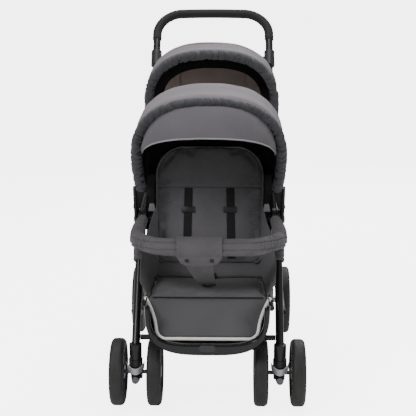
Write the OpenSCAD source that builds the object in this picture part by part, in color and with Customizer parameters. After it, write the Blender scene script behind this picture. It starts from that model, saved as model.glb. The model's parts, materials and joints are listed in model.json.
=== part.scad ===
// Tandem baby stroller: two seats in line on a folding tube frame.
// Millimetres. +X is the stroller's left-right axis, -Y is the way it drives, +Z is up.

/* [Frame] */
// Centre distance of the left and right frame tubes
tube_span = 414; // [394:2:434]
// Outer radius of the frame tubes
tube_r = 12; // [10:0.5:13]
// Height of the front hub above the floor
hub_z = 505; // [480:5:560]
// Distance of the front hub behind the front axle
hub_y = 215; // [195:5:235]
// Distance from the front seat to the rear seat
seat_pitch = 490; // [480:5:590]
// How much higher the rear seat stands
seat_rise = 95; // [80:5:115]
// Angle of the handle tubes above the horizontal
handle_angle = 54.1; // [50:0.1:62]

/* [Wheels] */
// Diameter of the front wheels
front_wheel_d = 195; // [170:5:200]
// Width of a front tyre
front_tyre_w = 40; // [34:1:44]
// Distance of a front wheel's centre from its caster's centre
twin_offset = 53.5; // [50:0.5:60]
// How far the front axle trails its swivel axis
trail = 30; // [22:1:34]
// Diameter of the rear wheels
rear_wheel_d = 232; // [200:4:240]
// Width of a rear tyre
rear_tyre_w = 38; // [32:1:42]
// Distance between the front and rear axles
wheelbase = 630; // [600:5:700]
// Radius of the wheel axles
axle_r = 6; // [5:0.5:8]

/* [Seats] */
// Width of a seat cushion
seat_w = 340; // [300:5:344]
// Depth of a seat cushion
seat_d = 232; // [200:4:236]
// Height of the front seat's top above the floor
seat_z = 338; // [320:2:345]
// Thickness of a seat cushion
cushion_t = 30; // [20:1:34]
// Length of a backrest from its hinge to its top
back_len = 376; // [340:4:390]
// Thickness of a backrest pad
pad_t = 26; // [18:1:30]
// Lean of an upright backrest behind the vertical
back_lean = 18.5; // [10:0.5:22]

/* [Canopies] */
// Radius of a canopy from its pivot to its crown
canopy_r = 408; // [385:1:420]
// Half of a canopy's greatest width
canopy_half_w = 222; // [214:1:230]
// Thickness of the padded rim
rim_r = 13; // [10:0.5:14]
// Angle of the front canopy's rim
front_rim_angle = 111.5; // [109:0.5:114]
// Angle of the rear canopy's rim
rear_rim_angle = 109; // [107:0.5:111]

/* [Handle] */
// Distance from the rear hub to the grip's top bar
handle_reach = 606; // [590:2:640]
// Radius of the foam grip
grip_r = 16.5; // [15:0.5:18]
// Bend radius of the handle's corners
handle_bend = 90; // [70:5:100]

/* [Hidden] */
$fn = 48;
fit = 0.05;        // running clearance on a radius
gap = 0.3;         // clearance between separate pieces
tube_x = tube_span / 2;
front_r = front_wheel_d / 2;
rear_r = rear_wheel_d / 2;
front_hub = [hub_y, hub_z];
rear_hub = front_hub + [seat_pitch, seat_rise];
rail_angle = atan2(seat_rise, seat_pitch);
foot = [-trail, 165];
leg_angle = atan2(foot[1] - hub_z, foot[0] - hub_y);
leg_len = norm(foot - front_hub);
rear_axle = [wheelbase, rear_r];
rear_leg_angle = atan2(rear_axle[1] - rear_hub[1], rear_axle[0] - rear_hub[0]);
tube_start = 48;   // frame tubes start this far from a hub's centre
disc_r = 33;
pin_r = 6;
slab_a = [tube_x - 17, tube_x - 6];    // hub disc of the side rails
slab_b = [tube_x - 5, tube_x + 6];     // hub disc of the legs
slab_mid = [tube_x + 7, tube_x + 12];  // ear of the middle canopy hoop
slab_rim = [tube_x + 13, tube_x + 18]; // ear of the canopy rim
frame_x = tube_x - 25;                 // seat frame tubes
frame_r = 8;
frame_back = 14;                       // seat frame's rear tube behind the hub
pan_drop = cushion_t + frame_r + gap;  // seat frame's centre below the seat's top
lug_angle = -113;                      // line from a hub to a lower link pivot
lug_reach = 280;
link_x = tube_x + 18;
link_pin_r = 5;
link_rod_r = 3.6;
tray_front = -115;
tray_w = 352;
tray_t = 7;
lock_d = handle_reach - 190;           // lock collar's middle along the handle tube
handle_rear = rear_hub[0] + handle_reach * cos(handle_angle) + grip_r * sin(handle_angle);
y_mid = (handle_rear + tray_front) / 2;
hoop_r = 4;
hoop_start = 90;
rim_start = 104;
wide_s = 210;      // distance from the pivot at which a canopy is widest
sweep_n = 12;
bumper_d = 95;     // bumper socket's place along the front leg
bumper_r = 8;
cover_r = 24;

// ---------- helpers ----------
function side(a) = [cos(a), sin(a)];
function at(x, p) = [x, p[0] - y_mid, p[1]];
function unit(v) = v / norm(v);

module rod(p, q, r) {
    d = q - p;
    translate(p)
        rotate([0, acos(d[2] / norm(d)), atan2(d[1], d[0])])
            cylinder(h = norm(d), r = r);
}

// Cylinder along X between two x values, centred on a point of the side view
module pin_x(x0, x1, p, r) {
    translate(at(min(x0, x1), p)) rotate([0, 90, 0]) cylinder(h = abs(x1 - x0), r = r);
}

module both_sides() {
    children();
    mirror([1, 0, 0]) children();
}

// Side-view outline, extruded along X
module slab_x(x0, x1) {
    translate([x0, -y_mid, 0]) rotate([90, 0, 90]) linear_extrude(x1 - x0) children();
}

function path_dir(p, i) = unit(p[min(i + 1, len(p) - 1)] - p[max(i - 1, 0)]);
function ring(c, t, ref, r) =
    let (u = unit(cross(ref, t)), v = cross(t, u))
    [for (k = [0:sweep_n - 1]) c + r * (cos(360 * k / sweep_n) * u + sin(360 * k / sweep_n) * v)];
function rings(path, ref, r) =
    [for (i = [0:len(path) - 1]) each ring(path[i], path_dir(path, i), ref, r)];

// Solid round bar along a path; ref is a vector across the path's plane
module sweep(path, r, ref) {
    n = sweep_n;
    m = len(path);
    walls = [for (i = [0:m - 2], k = [0:n - 1])
        [i * n + k, (i + 1) * n + k, (i + 1) * n + (k + 1) % n, i * n + (k + 1) % n]];
    caps = [[for (k = [0:n - 1]) k], [for (k = [n - 1:-1:0]) (m - 1) * n + k]];
    polyhedron(rings(path, ref, r), concat(walls, caps));
}

// Round tube along a path
module sweep_tube(path, r_out, r_in, ref) {
    n = sweep_n;
    m = len(path);
    s = m * n;
    outer = [for (i = [0:m - 2], k = [0:n - 1])
        [i * n + k, (i + 1) * n + k, (i + 1) * n + (k + 1) % n, i * n + (k + 1) % n]];
    inner = [for (i = [0:m - 2], k = [0:n - 1])
        [s + i * n + k, s + i * n + (k + 1) % n, s + (i + 1) * n + (k + 1) % n, s + (i + 1) * n + k]];
    ends = [for (k = [0:n - 1]) each [
        [k, (k + 1) % n, s + (k + 1) % n, s + k],
        [s - n + k, 2 * s - n + k, 2 * s - n + (k + 1) % n, s - n + (k + 1) % n]]];
    polyhedron(concat(rings(path, ref, r_out), rings(path, ref, r_in)), concat(outer, inner, ends));
}

// ---------- side frame ----------
module hub_disc(hub, slab) {
    difference() {
        pin_x(slab[0], slab[1], hub, disc_r);
        pin_x(slab[0] - 1, slab[1] + 1, hub, pin_r + fit);
    }
}

// Flat neck from a hub disc to its tube
module neck(hub, slab, angle) {
    x = (slab[0] + slab[1]) / 2;
    r = (slab[1] - slab[0]) / 2 - 0.3;
    rod(at(x, hub + 12 * side(angle)), at(x, hub + (tube_start + 20) * side(angle)), r);
}

module rail() {
    hub_disc(front_hub, slab_a);
    hub_disc(rear_hub, slab_a);
    neck(front_hub, slab_a, rail_angle);
    neck(rear_hub, slab_a, rail_angle + 180);
    rod(at(tube_x, front_hub + tube_start * side(rail_angle)),
        at(tube_x, rear_hub - tube_start * side(rail_angle)), tube_r);
}

module side_rails() { color("#1c1d1f") both_sides() rail(); }

module hub_pins() {
    color("#8f9296") both_sides() for (hub = [front_hub, rear_hub]) {
        pin_x(slab_a[0], slab_rim[1] + 1, hub, pin_r);
        pin_x(slab_rim[1] + 1, slab_rim[1] + 4, hub, 10);
    }
}

// ---------- seats ----------
module on_seat(rear) { translate(rear ? [0, seat_pitch, seat_rise] : [0, 0, 0]) children(); }

back_y = hub_y + frame_back;
pan_z = seat_z - pan_drop;
front_y = back_y - seat_d - 10;
hinge = [hub_y + frame_back * (hub_z - seat_z - 8) / (hub_z - pan_z), seat_z + 8];
hinge_r = 5;

module seat_frame(rear) {
    color("#1c1d1f") on_seat(rear) {
        both_sides() {
            pin_x(frame_x - frame_r, slab_a[0], front_hub, 12);
            rod(at(frame_x, front_hub), at(frame_x, [back_y, pan_z - frame_r]), frame_r);
            rod(at(frame_x, [back_y, pan_z]), at(frame_x, [front_y - frame_r, pan_z]), frame_r);
        }
        for (y = [front_y, back_y - 30]) pin_x(-frame_x, frame_x, [y, pan_z], frame_r);
        pin_x(-frame_x, frame_x, hinge, hinge_r);
    }
}

module rounded_slab(w_low, w_high, len, t, r) {
    linear_extrude(t) hull() {
        for (s = [-1, 1]) {
            translate([s * (w_low / 2 - r), r]) circle(r, $fn = 24);
            translate([s * (w_high / 2 - r), len - r]) circle(r, $fn = 24);
        }
    }
}

module seat_cushion(rear) {
    color("#55565a") on_seat(rear)
        translate([0, front_y - y_mid, seat_z - cushion_t])
            rounded_slab(seat_w, seat_w - 16, seat_d - 6, cushion_t, 18);
}

pad_tilt = 51.4;   // slope of the legrest pad below the horizontal
pad_len = 118;
pad_thick = 20;
pad_top = [front_y - 16.3, seat_z - 8];

module legrest_pad(rear) {
    color("#5b5b5e") on_seat(rear)
        translate(at(0, pad_top)) rotate([pad_tilt, 0, 0]) mirror([0, 1, 0])
            translate([0, 0, -pad_thick]) rounded_slab(seat_w - 4, seat_w - 66, pad_len, pad_thick, 24);
}

wing_t = 3;
module seat_wings(rear) {
    y1 = hub_y - 14;
    color("#4a4b4f") on_seat(rear) both_sides()
        slab_x(seat_w / 2 + gap, seat_w / 2 + gap + wing_t)
            polygon([[front_y + 14, seat_z - 10], [y1, seat_z - 10], [y1, hub_z - 30],
                [front_y + 120, hub_z - 45], [front_y + 40, seat_z + 40]]);
}

module lap_belt(rear) {
    z = seat_z + gap;
    color("#17181a") on_seat(rear) {
        both_sides() translate([26, hub_y - 75 - y_mid, z]) cube([seat_w / 2 - 28, 25, 2]);
        translate([-25, hub_y - 84 - y_mid, z]) cube([50, 42, 14]);
        translate([-12, hub_y - 160 - y_mid, z]) cube([24, 75, 2]);
    }
}

// ---------- backrests ----------
module on_back(rear) {
    on_seat(rear) translate(at(0, hinge)) rotate([-back_lean, 0, 0]) children();
}

board_t = 6;
back_w = 328;
pad_base = 16;     // the pad starts this far above the hinge
module backrest_board(rear) {
    color("#2a2b2d") on_back(rear) difference() {
        union() {
            translate([-back_w / 2 + 8, -board_t / 2, hinge_r + 1])
                cube([back_w - 16, board_t, back_len - 30]);
            rotate([0, 90, 0]) cylinder(h = back_w - 16, r = hinge_r + 4, center = true);
        }
        rotate([0, 90, 0]) cylinder(h = back_w, r = hinge_r + fit, center = true);
    }
}

module backrest_pad(rear) {
    color("#4b4b4e") on_back(rear) translate([0, -board_t / 2 - gap, pad_base])
        rotate([90, 0, 0]) rounded_slab(back_w - 14, back_w, back_len - pad_base, pad_t, 56);
}

strap_x = 64;
strap_w = 30;
module shoulder_straps(rear) {
    y = -board_t / 2 - pad_t - 2 * gap;
    color("#17181a") on_back(rear) for (s = [-1, 1]) {
        translate([s * strap_x - strap_w / 2, y - 2, pad_base + 20]) cube([strap_w, 2, 225]);
        translate([s * strap_x - strap_w / 2 - 3, y - 6, pad_base + 150])
            cube([strap_w + 6, 4 - gap, 24]);
    }
}

// ---------- canopies ----------
arch_low = 60;
// Half width of an arch at a distance s from its pivot, up to its widest place
function low_x(half_w, s) = half_w - 22 * pow((wide_s - s) / (wide_s - arch_low), 2);
function arch_side(half_w, s0) = [for (k = [0:5]) let (s = s0 + (wide_s - s0) * k / 6) [s, low_x(half_w, s)]];
function arch_top(half_w, top) = [for (k = [0:14]) let (a = 90 * k / 14)
    [wide_s + (top - wide_s) * pow(sin(a), 0.8), half_w * pow(cos(a), 0.8)]];
// One half of the arch, as [distance from the pivot, x]
function half_arch(half_w, top, s0) = concat(arch_side(half_w, s0), arch_top(half_w, top));
function mirrored(pts) = [for (i = [len(pts) - 2:-1:0]) [pts[i][0], -pts[i][1]]];
function full_arch(half_w, top, s0) =
    let (h = half_arch(half_w, top, s0)) concat(h, mirrored(h));
function arch_path(hub, angle, half_w, top, s0) =
    [for (p = full_arch(half_w, top, s0)) at(p[1], hub + p[0] * side(angle))];

shell_t = 3;
panel_start = 120;
// Curved sheet between two angles about the hub
module panel(hub, a0, a1, half_w, top) {
    outer = full_arch(half_w, top, panel_start);
    inner = full_arch(half_w - shell_t, top - shell_t, panel_start);
    back = [for (i = [len(inner) - 1:-1:0]) inner[i]];
    translate(at(0, hub)) rotate([0, 90, 0]) rotate([0, 0, a0 + 90])
        rotate_extrude(angle = a1 - a0) polygon(concat(outer, back));
}

// Ear on the hub pin, flat arm and crosspiece of one hoop
module hoop_arm(hub, slab, angle, reach, x_in) {
    x = (slab[0] + slab[1]) / 2;
    r = (slab[1] - slab[0]) / 2 - 0.1;
    difference() {
        union() {
            pin_x(slab[0], slab[1], hub, 12);
            rod(at(x, hub), at(x, hub + reach * side(angle)), r);
            pin_x(x_in, slab[1], hub + reach * side(angle), 4);
        }
        pin_x(slab[0] - 1, slab[1] + 1, hub, pin_r + fit);
    }
}

inner_half = canopy_half_w - 16;
inner_top = canopy_r - 16;
rim_half = canopy_half_w - rim_r;
rim_top = canopy_r - rim_r;
front_rear_angle = 55;
rear_rear_angle = 70;
front_mid_angle = (front_rim_angle + front_rear_angle) / 2;
rear_mid_angle = (rear_rim_angle + rear_rear_angle) / 2;

module hoop(hub, angle, r, half_w, top, s0) {
    color("#202124") sweep(arch_path(hub, angle, half_w, top, s0), r, [0, -sin(angle), cos(angle)]);
}

module fixed_hoop(hub, angle) {
    hoop(hub, angle, hoop_r, inner_half, inner_top, hoop_start);
    color("#202124") both_sides()
        rod(at((slab_a[0] + slab_a[1]) / 2, hub + (disc_r + gap) * side(angle)),
            at(low_x(inner_half, hoop_start), hub + (hoop_start - 1.6) * side(angle)), hoop_r);
}

module mid_hoop(hub, angle) {
    hoop(hub, angle, hoop_r, inner_half, inner_top, hoop_start);
    color("#202124") both_sides()
        hoop_arm(hub, slab_mid, angle, hoop_start - 4.3, low_x(inner_half, hoop_start) - 3);
}

module rim_hoop(hub, angle) {
    hoop(hub, angle, rim_r, rim_half, rim_top, rim_start);
    color("#202124") both_sides()
        hoop_arm(hub, slab_rim, angle, rim_start - 5.5, low_x(rim_half, rim_start) - 3);
}

panel_gap = 4;     // angle kept free beside a hoop
module back_panel(hub, a_rear, a_mid) {
    color("#8f8b90") panel(hub, a_rear + panel_gap - 1, a_mid - 1, canopy_half_w - 8.4, canopy_r - 8.4);
}

module top_panel(hub, a_mid, a_rim) {
    color("#8f8b90") panel(hub, a_mid + 1, a_rim - panel_gap - 0.1, canopy_half_w - 1, canopy_r - 1);
}

visor_half = canopy_half_w - 17;
module visor() {
    color("#77777b") difference() {
        panel(front_hub, front_rim_angle + 3.2, front_rim_angle + 24, visor_half, canopy_r - 3);
        translate(at(0, front_hub + [-290, 295])) rotate([-23.7, 0, 0])
            translate([-300, -300, -600]) cube([600, 800, 600]);
    }
}

// ---------- front legs, tray ----------
socket_h = 45;
leg_fwd = leg_angle - 90;      // across the leg, towards the front
module lug(hub, tube_angle, tube_d) {
    pivot = hub + lug_reach * side(lug_angle);
    rod(at(tube_x, hub + tube_d * side(tube_angle)), at(tube_x, pivot), 7);
    pin_x(tube_x - 8, tube_x + 10, pivot, 10);
}

module front_leg() {
    socket = front_hub + bumper_d * side(leg_angle);
    difference() {
        union() {
            hub_disc(front_hub, slab_b);
            neck(front_hub, slab_b, leg_angle);
            rod(at(tube_x, front_hub + tube_start * side(leg_angle)), at(tube_x, foot + [0, 10]), tube_r);
            translate(at(tube_x, [foot[0], foot[1] - 15])) cylinder(h = socket_h, r = 18);
            lug(front_hub, leg_angle, 310);
            pin_x(tube_x, link_x + 6, front_hub + lug_reach * side(lug_angle), link_pin_r);
            rod(at(tube_x, socket), at(tube_x, socket + 32 * side(leg_fwd)), 14);
        }
        translate(at(tube_x, [foot[0], foot[1] - 16])) cylinder(h = socket_h - 5, r = pin_r + fit);
        rod(at(tube_x, socket + 14 * side(leg_fwd)), at(tube_x, socket + 40 * side(leg_fwd)), bumper_r + fit);
    }
}

bracket_x = 90;
module front_cross_tube() {
    q = front_hub + 370 * side(leg_angle);
    pad_back = pad_top + pad_len / 2 * side(180 + pad_tilt) + (pad_thick + gap) * side(pad_tilt - 90);
    knee = [q[0], pad_back[1] - (q[0] - pad_back[0]) / tan(pad_tilt)];
    under = tray_low(bracket_x) - 4 - gap;
    reach = tube_x - tube_r - gap;
    color("#1c1d1f") {
        pin_x(-reach, reach, q, 8);
        both_sides() {
            rod(at(bracket_x, [q[0], under - 3]), at(bracket_x, knee + [0, 3]), 4);
            rod(at(bracket_x, knee), at(bracket_x, pad_back), 4);
            rod(at(bracket_x, [q[0] + 3, under]), at(bracket_x, [tray_front + 30, under]), 4);
        }
    }
}

function tray_low(x) = 190 + 72 * pow(abs(x) / (tray_w / 2), 3);
function tray_high(x) = 240 + 62 * pow(abs(x) / (tray_w / 2), 4);
tray_steps = 20;
module tray_outline(rise, lift) {
    polygon(concat(
        [for (k = [0:tray_steps]) let (x = tray_w * (k / tray_steps - 0.5)) [x, tray_low(x) + rise]],
        [for (k = [tray_steps:-1:0]) let (x = tray_w * (k / tray_steps - 0.5)) [x, tray_high(x) + lift]]));
}

module footrest_tray() {
    tray_depth = 88;
    color("#121315") difference() {
        translate([0, tray_front + tray_depth - y_mid, 0]) rotate([90, 0, 0])
            linear_extrude(tray_depth) tray_outline(0, 0);
        translate([0, tray_front + tray_depth + 1 - y_mid, 0]) rotate([90, 0, 0])
            linear_extrude(tray_depth - tray_t + 1) tray_outline(tray_t, 60);
        translate(at(0, [tray_front + 1, badge_z])) rotate([90, 0, 0])
            linear_extrude(3) badge_outline(gap);
    }
}

badge_w = 46;
badge_h = 18;
badge_z = 213;
module badge_outline(grow) {
    r = badge_h / 2 + grow;
    square([badge_w - badge_h, 2 * r], center = true);
    for (s = [-1, 1]) translate([s * (badge_w - badge_h) / 2, 0]) circle(r);
}

module tray_badge() {
    color("#3a3b3d") translate(at(0, [tray_front + 1, badge_z])) rotate([90, 0, 0])
        linear_extrude(1.5) badge_outline(0);
}

// ---------- bumper bar ----------
bar_low = front_hub + bumper_d * side(leg_angle);
bar_front = -55;
function bezier(a, b, c, d, t) =
    pow(1 - t, 3) * a + 3 * pow(1 - t, 2) * t * b + 3 * (1 - t) * t * t * c + pow(t, 3) * d;
bar_half = let (
        p0 = at(tube_x, bar_low + 14.5 * side(leg_fwd)),
        p1 = at(tube_x, bar_low + 50 * side(leg_fwd)),
        p2 = at(tube_x - 6, [60, 478]),
        p3 = at(120, [bar_front + 6, 487]))
    concat([for (k = [0:2]) p0 + (p1 - p0) * k / 3],
        [for (k = [0:10]) bezier(p1, p1 + 45 * [0, leg_fwd_y(), leg_fwd_z()],
            p2 + [-2, -75, 6], p3, k / 10)],
        [for (k = [1:3]) p3 + ([0, bar_front - y_mid, 488] - p3) * k / 4 + [0, -3 * sin(45 * k), 0]]);
function leg_fwd_y() = cos(leg_fwd);
function leg_fwd_z() = sin(leg_fwd);
bar_path = concat(bar_half, [for (i = [len(bar_half) - 1:-1:0]) [-bar_half[i][0], bar_half[i][1], bar_half[i][2]]]);
bar_ref = [0, 0.35, 0.94];

module bumper_bar() { color("#1c1d1f") sweep(bar_path, bumper_r, bar_ref); }

module bumper_cover() {
    inside = [for (i = [5:len(bar_path) - 6]) bar_path[i]];
    color("#4f5053") sweep_tube(inside, cover_r, bumper_r + gap, bar_ref);
}

wrap_w = 96;
module crotch_wrap() {
    y = bar_front - y_mid;
    z = 488;
    color("#46474a") {
        difference() {
            translate([-wrap_w / 2, y, z]) rotate([0, 90, 0]) cylinder(h = wrap_w, r = cover_r + 6);
            translate([-wrap_w, y, z]) rotate([0, 90, 0]) cylinder(h = 2 * wrap_w, r = cover_r + 2.2);
        }
        translate([-30, y - 2, z - cover_r - 38]) cube([60, 3, 36]);
        translate([-12, y - 1, z - cover_r - 37]) rotate([48, 0, 0])
            translate([0, 0, -94]) cube([24, 2, 93]);
    }
}

// ---------- casters and front wheels ----------
swivel = [-trail, 0];
axle_z = front_r;
module caster_housing() {
    top = [-trail, 132];
    color("#1a1b1d") difference() {
        union() {
            slab_x(tube_x - 16, tube_x + 16) {
                translate([0, axle_z]) circle(20);
                translate(top) circle(17);
                polygon([[-18, axle_z - 6], [-trail - 16, top[1] - 4], [-trail + 12, top[1] + 12], [18, axle_z + 6]]);
            }
            translate(at(tube_x, [-trail, 130])) cylinder(h = 19.7, r = 20);
            translate(at(tube_x, [-trail, 140])) cylinder(h = 48, r = pin_r);
            translate(at(tube_x, [-10, 92])) rotate([90, 0, 0]) cylinder(h = 32, r = 12.5);
        }
        pin_x(tube_x - 20, tube_x + 20, [0, axle_z], axle_r + fit);
    }
}

module caster_cover() {
    color("#9a9da1") {
        intersection() {
            difference() {
                translate(at(tube_x, [-trail, 110])) cylinder(h = 32, r = 25);
                translate(at(tube_x, [-trail, 109])) cylinder(h = 40, r = 23.4);
            }
            translate([tube_x - 30, -trail - 40 - y_mid, 100]) cube([60, 35, 40]);
        }
        translate(at(tube_x, [-42 - gap, 92])) rotate([90, 0, 0]) cylinder(h = 4, r = 7);
    }
}

module tyre_ring(x, p, r, w, bead) {
    c = w * 0.3;
    translate(at(x, p)) rotate([0, 90, 0]) rotate_extrude($fn = 72)
        polygon(concat([[bead, -w / 2 + 5], [bead + 5, -w / 2]],
            [for (k = [0:6]) let (a = -90 + 15 * k) [r - c + c * cos(a), -w / 2 + c + c * sin(a)]],
            [for (k = [0:6]) let (a = 15 * k) [r - c + c * cos(a), w / 2 - c + c * sin(a)]],
            [[bead + 5, w / 2], [bead, w / 2 - 5]]));
}

module wheel_rim(x, p, bead, w, bore) {
    spokes = 5;
    ring_t = 8;
    difference() {
        union() {
            pin_x(x - w / 2, x + w / 2, p, 19);
            difference() {
                pin_x(x - w / 2 + 4, x + w / 2 - 4, p, bead);
                pin_x(x - w / 2, x + w / 2, p, bead - ring_t);
            }
            for (k = [0:spokes - 1])
                translate(at(x, p)) rotate([90 + 360 * k / spokes, 0, 0])
                    translate([-w / 2 + 8, -9, 14]) cube([w - 16, 18, bead - ring_t - 12]);
        }
        if (bore > 0) pin_x(x - w, x + w, p, bore);
    }
}

front_bead = front_r - 27;
rear_bead = rear_r - 28;
module front_tyres() {
    color("#161616") for (s = [-1, 1])
        tyre_ring(tube_x + s * twin_offset, [0, axle_z], front_r, front_tyre_w, front_bead);
}

module front_rims() {
    color("#6f7174") {
        for (s = [-1, 1])
            wheel_rim(tube_x + s * twin_offset, [0, axle_z], front_bead, front_tyre_w - 4, 0);
        pin_x(tube_x - twin_offset, tube_x + twin_offset, [0, axle_z], axle_r);
    }
}

// ---------- rear frame ----------
rear_wheel_x = tube_x + tube_r + 15 + rear_tyre_w / 2;
inner_end = lock_d + 69;       // the lower handle tube ends here, inside the upper one
module rear_post() {
    difference() {
        union() {
            hub_disc(rear_hub, slab_b);
            neck(rear_hub, slab_b, rear_leg_angle);
            neck(rear_hub, slab_b, handle_angle);
            rod(at(tube_x, rear_hub + tube_start * side(rear_leg_angle)),
                at(tube_x, rear_axle - 14 * side(rear_leg_angle + 180)), tube_r);
            rod(at(tube_x, rear_hub + tube_start * side(handle_angle)),
                at(tube_x, rear_hub + inner_end * side(handle_angle)), tube_r);
            lug(rear_hub, rear_leg_angle, 300);
            pin_x(tube_x, link_x + 6, rear_hub + lug_reach * side(lug_angle), link_pin_r);
        }
        pin_x(tube_x - 20, tube_x + 20, rear_axle, axle_r + fit);
    }
}

module rear_axle_rod() {
    cap = rear_wheel_x + rear_tyre_w / 2 - 1;
    color("#8f9296") {
        pin_x(-cap, cap, rear_axle, axle_r);
        both_sides() pin_x(cap, cap + 4, rear_axle, 11);
        both_sides() pin_x(tube_x + tube_r + gap, tube_x + tube_r + 13, rear_axle, 10);
    }
}

module rear_tyre() { color("#161616") tyre_ring(rear_wheel_x, rear_axle, rear_r, rear_tyre_w, rear_bead); }
module rear_rim() {
    color("#6f7174") wheel_rim(rear_wheel_x, rear_axle, rear_bead, rear_tyre_w - 4, axle_r + fit);
}

module lower_links() {
    p = front_hub + lug_reach * side(lug_angle);
    q = rear_hub + lug_reach * side(lug_angle);
    color("#1c1d1f") both_sides() difference() {
        union() {
            pin_x(link_x - 4, link_x + 4, p, 10);
            pin_x(link_x - 4, link_x + 4, q, 10);
            rod(at(link_x, p), at(link_x, q), link_rod_r);
        }
        pin_x(link_x - 9, link_x + 9, p, link_pin_r + fit);
        pin_x(link_x - 9, link_x + 9, q, link_pin_r + 1);
    }
}

module brake_pedal() {
    color("#8c2226") difference() {
        union() {
            pin_x(-45, 45, rear_axle, axle_r + 5);
            translate([-38, rear_axle[0] + 8 - y_mid, rear_axle[1] - 2]) cube([76, 58, 7]);
        }
        pin_x(-50, 50, rear_axle, axle_r + fit);
    }
}

// ---------- handle ----------
collar_r = 19;
upper_r = tube_r + 1.5;
upper_end = lock_d + 9;
button_r = 7;
module collar() {
    h = rear_hub;
    difference() {
        rod(at(tube_x, h + (lock_d - 33) * side(handle_angle)),
            at(tube_x, h + (lock_d + 27) * side(handle_angle)), collar_r);
        rod(at(tube_x, h + (lock_d - 27) * side(handle_angle)),
            at(tube_x, h + (lock_d + 30) * side(handle_angle)), upper_r + gap);
        rod(at(tube_x, h + (lock_d - 40) * side(handle_angle)),
            at(tube_x, h + (lock_d + 30) * side(handle_angle)), tube_r + 0.02);
        pin_x(tube_x - collar_r - 5, tube_x, h + lock_d * side(handle_angle), button_r + fit);
    }
}

module lock_collars() { color("#1a1b1d") both_sides() collar(); }

module handle_button() {
    p = rear_hub + lock_d * side(handle_angle);
    color("#2c2d30") {
        pin_x(tube_x - collar_r + 1.5, tube_x - collar_r - 5, p, button_r);
    }
}

// Handle path in its own plane: [x, distance along the tubes]
function u_path(from) = concat(
    [for (k = [0:3]) [tube_x, from + (handle_reach - handle_bend - from) * k / 4]],
    [for (k = [0:8]) let (a = 90 * k / 8)
        [tube_x - handle_bend + handle_bend * cos(a), handle_reach - handle_bend + handle_bend * sin(a)]]);
function u_full(from) = let (h = u_path(from))
    concat(h, [for (i = [len(h) - 1:-1:0]) [-h[i][0], h[i][1]]]);
function u_points(from) = [for (p = u_full(from)) at(p[0], rear_hub + p[1] * side(handle_angle))];
handle_ref = [0, -sin(handle_angle), cos(handle_angle)];
// A swept tube's flats lie inside its radius, so its inner radius is enlarged to match
flat = 1 / cos(180 / sweep_n);

module handle_tube() {
    color("#1c1d1f") sweep_tube(u_points(upper_end), upper_r, (tube_r + gap / 2) * flat, handle_ref);
}

module handle_grip() {
    color("#222224") sweep_tube(u_points(lock_d + 74), grip_r, upper_r + gap, handle_ref);
}

side_rails();
hub_pins();
seat_frame(false);  // front_seat_frame
seat_frame(true);  // rear_seat_frame
seat_cushion(false);  // front_seat_cushion
seat_cushion(true);  // rear_seat_cushion
legrest_pad(false);  // front_legrest_pad
legrest_pad(true);  // rear_legrest_pad
seat_wings(false);  // front_seat_wings
seat_wings(true);  // rear_seat_wings
lap_belt(false);  // front_lap_belt
lap_belt(true);  // rear_lap_belt
fixed_hoop(front_hub, front_rear_angle);  // front_canopy_rear_hoop
fixed_hoop(rear_hub, rear_rear_angle);  // rear_canopy_rear_hoop
backrest_board(false);  // front_backrest_board
backrest_pad(false);  // front_backrest_pad
shoulder_straps(false);  // front_shoulder_straps
backrest_board(true);  // rear_backrest_board
backrest_pad(true);  // rear_backrest_pad
shoulder_straps(true);  // rear_shoulder_straps
mid_hoop(front_hub, front_mid_angle);  // front_canopy_mid_hoop
back_panel(front_hub, front_rear_angle, front_mid_angle);  // front_canopy_back_panel
mid_hoop(rear_hub, rear_mid_angle);  // rear_canopy_mid_hoop
back_panel(rear_hub, rear_rear_angle, rear_mid_angle);  // rear_canopy_back_panel
rim_hoop(front_hub, front_rim_angle);  // front_canopy_rim
top_panel(front_hub, front_mid_angle, front_rim_angle);  // front_canopy_top_panel
visor();  // front_canopy_visor
rim_hoop(rear_hub, rear_rim_angle);  // rear_canopy_rim
top_panel(rear_hub, rear_mid_angle, rear_rim_angle);  // rear_canopy_top_panel
color("#1c1d1f") mirror([1, 0, 0]) front_leg();  // front_leg_left
color("#1c1d1f") front_leg();  // front_leg_right
front_cross_tube();
footrest_tray();
tray_badge();
bumper_bar();
bumper_cover();
crotch_wrap();
mirror([1, 0, 0]) caster_housing();  // caster_housing_left
caster_housing();  // caster_housing_right
mirror([1, 0, 0]) caster_cover();  // caster_cover_left
caster_cover();  // caster_cover_right
mirror([1, 0, 0]) front_tyres();  // front_tyres_left
front_tyres();  // front_tyres_right
mirror([1, 0, 0]) front_rims();  // front_rims_left
front_rims();  // front_rims_right
color("#1c1d1f") mirror([1, 0, 0]) rear_post();  // rear_post_left
color("#1c1d1f") rear_post();  // rear_post_right
rear_axle_rod();
lock_collars();
mirror([1, 0, 0]) rear_tyre();  // rear_tyre_left
rear_tyre();  // rear_tyre_right
mirror([1, 0, 0]) rear_rim();  // rear_rim_left
rear_rim();  // rear_rim_right
lower_links();
handle_tube();
handle_grip();
mirror([1, 0, 0]) handle_button();  // handle_button_left
handle_button();  // handle_button_right
brake_pedal();
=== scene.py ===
# %% [markdown]
# # A tandem baby stroller
#
# The frame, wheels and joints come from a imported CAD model, which is loaded first and never moved.
# This file adds what CAD is poor at: padded seats, curved canopies, gathered hems, webbing, foam and
# the finish of every surface. Each step starts with a short note on the real part and how it is made.

# %% Load the fixed frame
import json
import math

import bpy
from mathutils import Matrix, Vector, noise

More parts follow.
